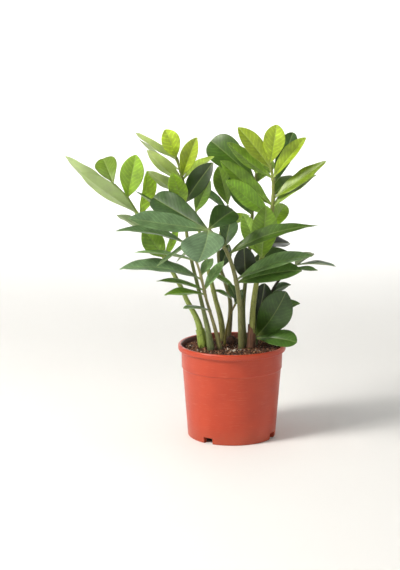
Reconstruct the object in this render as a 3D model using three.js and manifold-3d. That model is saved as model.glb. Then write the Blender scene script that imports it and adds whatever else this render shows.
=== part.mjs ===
// Potted ZZ plant: eleven fronds of leathery leaflets in a plain plastic nursery pot.
// Millimetres, +Z up, origin at the middle of the pot's underside, front of the plant towards -Y.
import * as THREE from 'three';
import { mergeVertices } from 'three/addons/utils/BufferGeometryUtils.js';
import Module from 'manifold-3d';

const wasm = await Module();
wasm.setup();

// ---- driving dimensions: pot ----
const RIM_RADIUS = 85;
const POT_HEIGHT = 148;
const BASE_RADIUS = 69.5;
const WALL = 2;
const BEAD_HEIGHT = 9; // rolled rim
const SHOULDER_HEIGHT = 109.5; // small step where the upper wall stands proud of the lower one
const SHOULDER_STEP = 1.5;
const WALL_TOP_RADIUS = 80; // outside of the wall just under the rim
const RING_WIDTH = 7; // standing ring round the underside
const FOOT_PAD_RADIUS = 30; // middle of the underside that also touches the ground
const RECESS = 5; // depth of the hollow between ring and pad
const FLOOR = 2; // thickness of the pot's floor
const POT_SIDES = 56;
const DRAIN_ANGLES = [-33, 65, 147, 245]; // degrees from the front, positive towards +X
const DRAIN_WIDTH = 16;
const DRAIN_HEIGHT = 10;
const DRAIN_DEPTH = 16; // radially
const DRAIN_INSET = 3; // from the base's edge to the middle of a notch
const RIM_WIDTH = 5; // from the rim's outside to the mouth
const BAND_LEAN = 0.7; // by which the upper wall widens towards the rim
const BEVEL = 1.2; // of the pot's outer corners
const BEAD_ROUND = 3; // rounding of the rim
const PAD_SLOPE = 2; // of the middle pad's side
const FLOOR_FILLET = 3; // between floor and wall

// ---- driving dimensions: soil, crown and sheaths ----
const SOIL_LEVEL = 143; // at the middle
const SOIL_EDGE_LEVEL = 141;
const SOIL_FLAT_RADIUS = 50; // from here the surface falls to its edge
const GAP = 0.3; // between neighbours that touch
const FIT = 0.2; // more room round soil and sheaths
const BORE_SHARE = 0.6; // part of a stem's length that the bore in soil and crown follows
const BORE_GAP = 0.4; // between a stem and its bore
const BORE_RUN = 0.02; // part of a stem's length by which a bore runs on
const CROWN = { centre: [0, 24, 145], radii: [9, 10, 10] }; // top of the tuber that shows
const SHEATHS = [
  { stem: 'e', from: 0.04, to: 0.15, wall: 1.1, color: '#6b4a34' }, // dry and brown
  { stem: 'a', from: 0.042, to: 0.11, wall: 0.9, color: '#76903f' }, // still green
];

// ---- driving dimensions: foliage ----
const STEM_SIDES = 8;
const FOOT_POWER = 8; // how soon the swelling of a stem's foot dies away
const LEAF_STATIONS = 8;
const BLADE_THICKNESS = 1.5;
const STEM_TENSION = 0.5; // of the curve through a stem's points
const PETIOLE_RADIUS = 1.3;
const PETIOLE_SHARE = 0.12; // part of a leaflet's length that stays round
const PETIOLE_FIT = 0.4; // more room between a stem and a petiole beside it
const LEAST_SINE = 0.35; // limits that room where a leaflet lies along its stem
const TIP_HALF_WIDTH = 0.6;
const TIP_HALF_THICKNESS = 0.4;
const BASE_POWER = 1.15; // how the blade widens from its base

// A frond is a stem and its leaflets. The stem runs through the points of path, from its foot
// in the soil to its tip. Its radii are those of the foot, the neck above it, and the tip.
// A leaflet is a row:
// [how far up the stem, reach from the stem to the leaflet's tip, width,
//  facing: degrees that the upper side looks down from straight up towards the front,
//  turn: degrees that this direction is swung towards +X,
//  arch: rise of the middle above the straight line, sweep: sideways bend of the middle,
//  fold: degrees that each half rises from the midrib,
//  tip power: how it narrows to its tip, about 1 for a long point and 0.5 for a blunt one].
// Rows under leaflets are pieces of their own. Rows under small are one piece with the stem.
const FRONDS = {
  a: {
    radii: [8.2, 4.6, 2.0],
    path: [[-43, -3, 130], [-50, -5, 170], [-57, -6, 192], [-71, -9, 219], [-79, -11, 238],
      [-105, -15, 286], [-128, -19, 323], [-147, -23, 357], [-162, -26, 382], [-183, -30, 405]],
    leaflets: [
      [0.91, [-91, -3, 62], 32, -40, 0, -9, 0, 14, 1.0],
      [0.79, [-84, -39, 67], 36, -46, 0, -2, 0, 18, 0.95],
      [1.0, [-18, 45, 34], 36, 70, 0, 3, 0, 14, 0.6],
      [0.89, [15, -22, 69], 38, 84, 0, 4, 0, 16, 0.7],
      [0.76, [13, 0, 72], 36, 60, 50, 3, 0, 30, 0.7],
      [0.56, [-32, -25, 50], 36, 76, 0, 3, 0, 20, 0.8],
    ],
    small: [
      [0.66, [-50, -51, 42], 24, -24, 0, 3, 0, 16, 0.8],
      [0.56, [20, 20, 46], 15, 50, 60, 2, 0, 16, 0.95],
    ],
  },
  b: {
    radii: [7.2, 3.3, 1.9],
    path: [[-31, -24, 130], [-38, -23, 174], [-45, -21, 205], [-53, -20, 240], [-67, -18, 300],
      [-74, -16, 354], [-75, -15, 393], [-80, -15, 421], [-89, -15, 450]],
    leaflets: [
      [0.97, [-17, -21, 45], 32, 80, 10, 3, 0, 22, 0.6],
      [0.84, [23, -10, 62], 31, 78, -10, 3, 0, 32, 0.8],
      [0.96, [-63, -17, 43], 27, -22, 0, -3, 0, 14, 1.0],
      [0.8, [-54, -35, 54], 30, -34, 0, -4, 0, 16, 0.95],
      [0.73, [-54, -47, 41], 28, -36, 0, -4, 0, 16, 0.95],
      [0.67, [-18, -54, 57], 30, 88, 0, 3, 0, 20, 0.8],
      [0.68, [44, -30, 66], 36, 70, -10, 4, 0, 20, 0.8],
    ],
    small: [
      [0.89, [-67, 30, 47], 28, -24, 0, -4, 0, 14, 1.0],
      [0.82, [49, 20, 34], 22, 20, 0, 3, 0, 16, 0.8],
    ],
  },
  c: {
    radii: [5.8, 5.0, 1.5],
    path: [[-11, 38, 130], [-17, 38, 177], [-26, 36, 213], [-36, 34, 255],
      [-46, 32, 299], [-54, 30, 332], [-58, 30, 355]],
    leaflets: [
      [0.98, [23, -6, 51], 26, 60, 0, 3, 0, 26, 0.8],
    ],
    small: [
      [0.5, [40, 10, -27], 16, 30, 0, 2, 0, 16, 0.95],
      [0.39, [30, 9, -17], 14, 20, 0, 2, 0, 16, 0.95],
      [0.67, [-43, 28, -33], 22, 20, 0, 3, 0, 16, 0.95],
    ],
  },
  d: {
    radii: [5.0, 4.2, 1.6],
    path: [[-6, 62, 130], [-2, 62, 172], [-2, 60, 205], [-10, 58, 235],
      [-20, 55, 268], [-20, 52, 304], [-12, 50, 337], [-6, 48, 362]],
    leaflets: [
      [1.0, [-15, -8, 62], 32, 76, 0, 3, 0, 20, 0.7],
    ],
    small: [
      [0.95, [-46, 13, 31], 24, 20, 0, 3, 0, 18, 0.8],
      [0.8, [45, 29, 16], 26, 30, 0, 3, 0, 16, 0.95],
      [0.53, [14, 2, 39], 22, 70, 0, 2, 0, 16, 0.95],
    ],
  },
  k: {
    radii: [4.6, 3.9, 1.6],
    path: [[24, 8, 130], [19, 9, 167], [18, 11, 202], [21, 15, 241], [27, 20, 285],
      [30, 26, 324], [33, 31, 363], [36, 36, 394], [38, 38, 415]],
    leaflets: [
      [0.92, [-70, 13, 61], 52, 74, 0, 8, 0, 14, 0.4],
      [0.7, [-36, -21, 64], 34, 60, 0, 3, 0, 16, 0.6],
      [0.46, [70, 14, 15], 32, 45, 0, 4, 0, 16, 0.95],
    ],
    small: [
      [0.98, [5, 6, 37], 26, 74, 0, 3, 0, 22, 0.8],
      [0.78, [8, -22, 28], 18, 70, 0, 2, 0, 16, 0.95],
      [0.54, [67, 58, -3], 30, 40, 0, 4, 0, 16, 0.8],
      [0.39, [-4, -34, 60], 36, 80, 0, 3, 0, 16, 0.7],
      [0.89, [28, 39, 33], 28, 50, 0, 3, 0, 20, 0.8],
    ],
  },
  e: {
    radii: [6.6, 5.0, 1.9],
    path: [[29, -15, 130], [31, -14, 175], [33, -12, 211], [39, -9, 254], [49, -5, 297],
      [59, -1, 341], [63, 2, 375], [63, 4, 406], [58, 5, 432]],
    leaflets: [
      [1.0, [9, -21, 62], 35, 84, 0, 3, 0, 16, 0.6],
      [0.96, [-52, -7, 65], 32, 62, 0, 4, 0, 20, 0.8],
      [0.89, [-72, -16, 57], 30, 40, 0, -4, 0, 16, 0.85],
      [0.72, [-82, -21, 72], 34, 50, 0, -3, 0, 16, 0.85],
      [0.66, [-72, -52, 61], 36, 60, 0, -3, 0, 20, 0.85],
      [0.47, [-31, -10, 70], 32, 80, 0, 3, 0, 24, 0.8],
      [0.89, [50, -9, 64], 30, 64, -20, 3, 0, 38, 0.8],
      [0.76, [82, -7, 60], 28, 36, 0, 0, 0, 14, 1.0],
      [0.71, [69, 7, 50], 27, 24, 0, 4, 0, 14, 1.0],
      [0.46, [4, -54, 92], 42, 88, 0, 4, 0, 14, 0.7],
      [0.84, [33, 54, 78], 30, 76, 0, 3, 0, 16, 0.6],
      [0.58, [29, 64, 35], 28, 76, 0, 3, 0, 16, 0.7],
    ],
    small: [
      [0.78, [36, 59, 23], 28, 40, 0, 3, 0, 16, 0.95],
    ],
  },
  f: {
    radii: [5.4, 4.4, 2.0],
    path: [[15, -16, 130], [13, -20, 181], [11, -27, 218], [5, -42, 257],
      [-4, -62, 291], [-14, -82, 315], [-27, -102, 335], [-39, -120, 348]],
    leaflets: [
      [0.98, [-119, -11, 19], 44, 34, 0, 0, 0, 14, 0.8],
      [0.95, [-86, 44, 45], 46, 50, 0, 0, 0, 14, 0.4],
      [0.99, [-15, -59, -39], 70, 46, -18, 0, -3, 20, 0.75],
      [0.99, [39, 41, 23], 42, 62, -10, 4, 0, 16, 0.7],
      [0.71, [10, 31, 40], 30, 76, 0, 3, 0, 20, 0.7],
      [0.91, [-119, 69, 56], 32, -12, 0, -6, 0, 16, 0.9],
      [0.63, [139, 5, 44], 31, 34, 0, 14, 0, 18, 1.5],
      [0.43, [117, -18, 41], 36, 28, 0, 8, 0, 18, 0.9],
      [0.41, [99, -26, 24], 40, 46, 0, 2, -4, 16, 0.8],
    ],
    small: [
      [0.98, [-78, -15, -52], 16, 10, 0, 0, 0, 16, 0.95],
    ],
  },
  g: {
    radii: [5.2, 3.1, 1.4],
    path: [[-16, -17, 130], [-24, -20, 165], [-32, -23, 194], [-41, -28, 226],
      [-49, -36, 262], [-57, -42, 289], [-69, -48, 315]],
    leaflets: [
      [0.64, [-126, -27, 21], 36, 26, 0, 12, 0, 18, 0.9],
      [0.99, [-111, -20, 24], 32, 16, 0, 8, 0, 16, 1.0],
    ],
    small: [
      [0.4, [-41, -41, 11], 20, 12, 0, 2, 0, 16, 0.95],
      [0.53, [-63, -33, 5], 24, 20, 0, 3, 0, 16, 0.95],
      [0.56, [-74, -14, 17], 22, 12, 0, 4, 0, 16, 0.95],
      [0.82, [-95, -18, 16], 24, 2, 0, 4, 0, 16, 0.95],
      [0.67, [19, 16, 25], 18, 30, 0, 2, 0, 16, 0.95],
      [0.56, [31, 21, 43], 18, 30, 0, 2, 0, 16, 0.95],
    ],
  },
  i: {
    radii: [3.6, 3.2, 1.3],
    path: [[44, 54, 130], [53, 64, 171], [61, 66, 207],
      [75, 60, 236], [92, 52, 255], [104, 46, 266]],
    leaflets: [],
    small: [
      [1.0, [61, -18, 0], 24, 0, 0, 3, 0, 16, 0.95],
      [0.95, [28, -27, 25], 26, -30, 0, 3, 0, 16, 0.95],
      [0.45, [32, -5, 16], 22, 30, 0, 2, 0, 16, 0.95],
      [0.27, [55, -16, 18], 24, 40, 0, 3, 0, 16, 0.95],
      [0.7, [-28, 4, 20], 26, 40, 0, 3, 0, 16, 0.95],
      [0.83, [44, -7, 0], 12, 30, 0, 2, 0, 16, 0.95],
    ],
  },
  j: {
    radii: [3.4, 2.8, 2.2],
    path: [[39, 14, 130], [39, 14, 148], [38, 13, 156]],
    leaflets: [
      [0.98, [46, -27, 78], 56, 80, 0, 4, 4, 22, 0.6],
      [0.76, [63, -30, 0], 36, 42, 0, 5, 0, 12, 0.5],
      [1.0, [15, 31, 80], 36, 80, 0, 3, 0, 16, 0.7],
    ],
    small: [],
  },
  t: {
    radii: [2.8, 2.0, 1.2],
    path: [[-13, 6, 130], [-10, 5, 159], [-5, 3, 187], [2, 1, 204], [8, 0, 217]],
    leaflets: [],
    small: [
      [0.99, [-13, 4, 27], 16, 50, 0, 2, 0, 16, 0.95],
      [0.86, [12, -2, 25], 14, 60, 0, 2, 0, 16, 0.95],
    ],
  },
};

// ---- helpers ----
const radians = THREE.MathUtils.degToRad;

// A plain geometry, reduced to its positions, with shared corners merged.
function welded(geometry) {
  const plain = geometry.index ? geometry.toNonIndexed() : geometry.clone();
  for (const name of Object.keys(plain.attributes)) {
    if (name !== 'position') plain.deleteAttribute(name);
  }
  return mergeVertices(plain, 1e-4);
}

function toSolid(geometry) {
  const closed = welded(geometry);
  return new wasm.Manifold(new wasm.Mesh({
    numProp: 3,
    vertProperties: new Float32Array(closed.attributes.position.array),
    triVerts: new Uint32Array(closed.index.array),
  }));
}

function toGeometry(solid) {
  const mesh = solid.getMesh();
  const geometry = new THREE.BufferGeometry();
  geometry.setAttribute('position', new THREE.BufferAttribute(mesh.vertProperties, 3));
  geometry.setIndex(new THREE.BufferAttribute(mesh.triVerts, 1));
  return geometry;
}

// Moves every vertex of a geometry to place(x, y, z).
function reshaped(geometry, place) {
  const position = geometry.attributes.position;
  for (let i = 0; i < position.count; i += 1) {
    const p = place(position.getX(i), position.getY(i), position.getZ(i));
    position.setXYZ(i, p.x, p.y, p.z);
  }
  return geometry;
}

function named(name, geometry, color, roughness) {
  const material = new THREE.MeshStandardMaterial({ color, roughness, metalness: 0 });
  const mesh = new THREE.Mesh(geometry, material);
  mesh.name = name;
  return mesh;
}

// ---- pot ----
// Outside radius of the wall at a height, from base to shoulder and from shoulder to rim.
function outsideRadius(height) {
  if (height <= SHOULDER_HEIGHT) {
    const top = WALL_TOP_RADIUS - SHOULDER_STEP - BAND_LEAN;
    return THREE.MathUtils.lerp(BASE_RADIUS, top, height / SHOULDER_HEIGHT);
  }
  const t = (height - SHOULDER_HEIGHT) / (POT_HEIGHT - SHOULDER_HEIGHT);
  return THREE.MathUtils.lerp(WALL_TOP_RADIUS - BAND_LEAN, WALL_TOP_RADIUS, t);
}

const FLOOR_TOP = RECESS + FLOOR;
const RIM_INSIDE = RIM_RADIUS - RIM_WIDTH; // mouth
const BEAD_FOOT = POT_HEIGHT - BEAD_HEIGHT;

function insideRadius(height) {
  return outsideRadius(Math.min(height, BEAD_FOOT)) - WALL;
}

function potGeometry() {
  const underBead = outsideRadius(BEAD_FOOT);
  const arc = BEAD_ROUND * (1 - Math.SQRT1_2);
  const outline = [
    [0, 0], [FOOT_PAD_RADIUS, 0], [FOOT_PAD_RADIUS + PAD_SLOPE, RECESS],
    [BASE_RADIUS - RING_WIDTH, RECESS], [BASE_RADIUS - RING_WIDTH, 0], [BASE_RADIUS - BEVEL, 0],
    [BASE_RADIUS, BEVEL],
    [outsideRadius(SHOULDER_HEIGHT), SHOULDER_HEIGHT],
    [outsideRadius(SHOULDER_HEIGHT) + SHOULDER_STEP, SHOULDER_HEIGHT + SHOULDER_STEP],
    [underBead, BEAD_FOOT], [RIM_RADIUS - BEVEL, BEAD_FOOT], [RIM_RADIUS, BEAD_FOOT + BEVEL],
    [RIM_RADIUS, POT_HEIGHT - BEAD_ROUND], [RIM_RADIUS - arc, POT_HEIGHT - arc],
    [RIM_RADIUS - BEAD_ROUND, POT_HEIGHT], [RIM_INSIDE, POT_HEIGHT - BEVEL],
    [underBead - WALL, BEAD_FOOT],
    [insideRadius(FLOOR_TOP + FLOOR_FILLET), FLOOR_TOP + FLOOR_FILLET],
    [insideRadius(FLOOR_TOP) - FLOOR_FILLET, FLOOR_TOP], [0, FLOOR_TOP],
  ];
  const points = outline.map(([r, z]) => new THREE.Vector2(r, z));
  return new THREE.LatheGeometry(points, POT_SIDES).rotateX(Math.PI / 2);
}

function potSolid() {
  let pot = toSolid(potGeometry());
  for (const angle of DRAIN_ANGLES) {
    // A drain hole is a notch through the standing ring and the foot of the wall.
    const notch = new THREE.BoxGeometry(DRAIN_WIDTH, DRAIN_DEPTH, 2 * DRAIN_HEIGHT);
    notch.translate(0, DRAIN_INSET - BASE_RADIUS, 0).rotateZ(radians(angle));
    pot = pot.subtract(toSolid(notch));
  }
  return pot;
}

// ---- foliage ----
function stemCurve(frond) {
  const points = frond.path.map((p) => new THREE.Vector3(...p));
  return new THREE.CatmullRomCurve3(points, false, 'catmullrom', STEM_TENSION);
}

// A stem narrows quickly from its swollen foot to its neck, then evenly to its tip.
function stemRadius(frond, t) {
  const [foot, neck, tip] = frond.radii;
  return THREE.MathUtils.lerp(neck, tip, t) + (foot - neck) * (1 - t) ** FOOT_POWER;
}

// A tapering tube: a cylinder whose axis is bent onto the stem's curve between two places on it.
function stemGeometry(frond, { from = 0, to = 1, extra = 0, steps = 13 } = {}) {
  const curve = stemCurve(frond);
  const cylinder = new THREE.CylinderGeometry(1, 1, 1, STEM_SIDES, steps);
  const rings = [];
  let side = new THREE.Vector3(1, 0, 0);
  for (let i = 0; i <= steps; i += 1) {
    const t = from + (to - from) * (i / steps);
    const along = curve.getTangent(t);
    side = side.clone().addScaledVector(along, -side.dot(along)).normalize();
    const radius = stemRadius(frond, t) + extra;
    rings.push({ centre: curve.getPoint(t), side, other: side.clone().cross(along), radius });
  }
  return reshaped(cylinder, (x, y, z) => {
    const ring = rings[Math.round((y + 0.5) * steps)];
    return ring.centre.clone()
      .addScaledVector(ring.side, x * ring.radius)
      .addScaledVector(ring.other, z * ring.radius);
  });
}

// Half the width of a blade at u, from 0 at the petiole to 1 at the tip.
function halfWidth(u, width, tipPower) {
  const widest = BASE_POWER / (BASE_POWER + tipPower);
  const shape = (v) => v ** BASE_POWER * (1 - v) ** tipPower;
  return (0.5 * width * shape(u)) / shape(widest);
}

// A leaflet: a four-sided cylinder whose rings become flat V-shaped sections along the midrib.
function leafletGeometry(frond, row, joined) {
  const [at, reachList, width, facing, turn, arch, sweep, fold, tipPower] = row;
  const curve = stemCurve(frond);
  const foot = curve.getPoint(at);
  const reach = new THREE.Vector3(...reachList);
  const length = reach.length();
  const chord = reach.clone().normalize();
  const a = radians(facing);
  const b = radians(turn);
  const look = new THREE.Vector3(0, -Math.sin(a), Math.cos(a));
  look.applyAxisAngle(new THREE.Vector3(0, 0, 1), b);
  const normal = look.addScaledVector(chord, -look.dot(chord)).normalize();
  const side = chord.clone().cross(normal);

  // The petiole starts clear of the stem, or inside it where the leaflet is one piece with it.
  const cosine = Math.abs(chord.dot(curve.getTangent(at)));
  const sine = Math.max(Math.sqrt(1 - cosine * cosine), LEAST_SINE);
  const clear = (stemRadius(frond, at) + GAP + PETIOLE_FIT + PETIOLE_RADIUS * cosine) / sine;
  const start = joined ? 0 : clear / length;

  const ring = (u) => {
    const v = start + (1 - start) * u;
    const bend = 4 * v * (1 - v);
    const centre = foot.clone()
      .addScaledVector(reach, v)
      .addScaledVector(normal, arch * bend)
      .addScaledVector(side, sweep * bend);
    const least = v < 0.5 ? PETIOLE_RADIUS : TIP_HALF_WIDTH;
    const half = Math.max(halfWidth(v, width, tipPower), least);
    const blade = THREE.MathUtils.lerp(0.5 * BLADE_THICKNESS, TIP_HALF_THICKNESS, v);
    const thick = v < PETIOLE_SHARE ? PETIOLE_RADIUS : blade;
    return { centre, half, thick };
  };
  const blade = new THREE.CylinderGeometry(1, 1, 1, 4, LEAF_STATIONS);
  return reshaped(blade, (x, y, z) => {
    const { centre, half, thick } = ring(0.5 * (1 - Math.cos(Math.PI * (y + 0.5))));
    const lift = half > PETIOLE_RADIUS ? Math.abs(x) * half * Math.sin(radians(fold)) : 0;
    return centre
      .addScaledVector(side, x * half * Math.cos(radians(fold)))
      .addScaledVector(normal, z * thick + lift);
  });
}

// ---- soil, crown and sheaths ----
function crownGeometry(grow = 0) {
  const [rx, ry, rz] = CROWN.radii;
  const lump = new THREE.SphereGeometry(1, 16, 10).rotateX(Math.PI / 2);
  return lump.scale(rx + grow, ry + grow, rz + grow).translate(...CROWN.centre);
}

// The room that the lower part of a stem takes up in the soil and in the crown.
function stemBore(frond) {
  return stemGeometry(frond, { to: BORE_SHARE, extra: BORE_GAP, steps: 8 });
}

function sheathTube(sheath, grow) {
  const { stem, from, to } = sheath;
  return stemGeometry(FRONDS[stem], { from, to, extra: grow, steps: 4 });
}

function sheathSolid(sheath) {
  // The bore runs past both ends, so that the sheath is an open tube round its stem.
  const bore = { ...sheath, from: sheath.from - BORE_RUN, to: sheath.to + BORE_RUN };
  return toSolid(sheathTube(sheath, GAP + FIT + sheath.wall))
    .subtract(toSolid(sheathTube(bore, GAP + FIT)));
}

function soilSolid() {
  const floor = FLOOR_TOP + GAP;
  const play = GAP + FIT; // between soil and wall
  const edge = insideRadius(SOIL_EDGE_LEVEL) - play;
  const fillet = FLOOR_FILLET + 1;
  const outline = [
    [0, floor], [insideRadius(floor) - fillet, floor],
    [insideRadius(floor + fillet) - play, floor + fillet],
    [insideRadius(SHOULDER_HEIGHT) - play, SHOULDER_HEIGHT], [edge, SOIL_EDGE_LEVEL],
    [SOIL_FLAT_RADIUS, SOIL_LEVEL], [0, SOIL_LEVEL],
  ];
  const points = outline.map(([r, z]) => new THREE.Vector2(r, z));
  let soil = toSolid(new THREE.LatheGeometry(points, POT_SIDES).rotateX(Math.PI / 2));
  for (const frond of Object.values(FRONDS)) {
    soil = soil.subtract(toSolid(stemBore(frond)));
    soil = soil.subtract(toSolid(stemGeometry(frond, { to: BORE_RUN, extra: BORE_GAP, steps: 1 })
      .translate(0, 0, -GAP)));
  }
  return soil.subtract(toSolid(crownGeometry(GAP)));
}

// ---- assembly ----
const plant = new THREE.Group();
const pot = new THREE.Group();
const foliage = new THREE.Group();
plant.add(pot, foliage);

pot.add(named('pot', toGeometry(potSolid()), '#b5532f', 0.5));
pot.add(named('soil', toGeometry(soilSolid()), '#3a2a20', 0.95));

const stemSolids = {};
for (const [letter, frond] of Object.entries(FRONDS)) {
  let solid = toSolid(stemGeometry(frond));
  for (const row of frond.small) solid = solid.add(toSolid(leafletGeometry(frond, row, true)));
  stemSolids[letter] = solid;
  foliage.add(named(`stem_${letter}`, toGeometry(solid), '#76803f', 0.45));
  frond.leaflets.forEach((row, i) => {
    const blade = welded(leafletGeometry(frond, row, false));
    foliage.add(named(`leaflet_${letter}_${i + 1}`, blade, '#4f7d2c', 0.35));
  });
}

let crown = toSolid(crownGeometry());
for (const frond of Object.values(FRONDS)) {
  crown = crown.subtract(toSolid(stemBore(frond)));
}
foliage.add(named('crown', toGeometry(crown), '#6b4a34', 0.8));
for (const sheath of SHEATHS) {
  const tube = toGeometry(sheathSolid(sheath));
  foliage.add(named(`sheath_${sheath.stem}`, tube, sheath.color, 0.7));
}

export default plant;
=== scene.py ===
"""Potted ZZ plant: arching fronds of leathery leaflets in a moulded nursery pot, on a pale studio sweep.

Everything is worked out in millimetres in the frame of the CAD model and handed to Blender in metres.
"""
import itertools
import math

import bpy
import numpy as np
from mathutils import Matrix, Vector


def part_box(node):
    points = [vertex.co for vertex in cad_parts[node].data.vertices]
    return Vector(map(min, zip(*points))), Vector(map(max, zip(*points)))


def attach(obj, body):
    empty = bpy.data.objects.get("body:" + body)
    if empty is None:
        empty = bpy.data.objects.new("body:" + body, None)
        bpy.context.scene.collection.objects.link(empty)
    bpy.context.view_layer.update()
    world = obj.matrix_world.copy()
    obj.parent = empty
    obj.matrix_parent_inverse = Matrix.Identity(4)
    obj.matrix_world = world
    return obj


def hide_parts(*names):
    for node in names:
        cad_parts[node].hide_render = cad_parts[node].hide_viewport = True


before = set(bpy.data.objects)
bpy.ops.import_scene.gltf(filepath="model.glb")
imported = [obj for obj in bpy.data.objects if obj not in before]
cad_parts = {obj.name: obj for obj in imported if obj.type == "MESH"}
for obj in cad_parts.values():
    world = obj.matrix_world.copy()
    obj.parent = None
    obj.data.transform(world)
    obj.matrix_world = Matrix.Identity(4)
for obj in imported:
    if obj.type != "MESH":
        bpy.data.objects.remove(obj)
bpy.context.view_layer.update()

MM = 0.001

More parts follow.
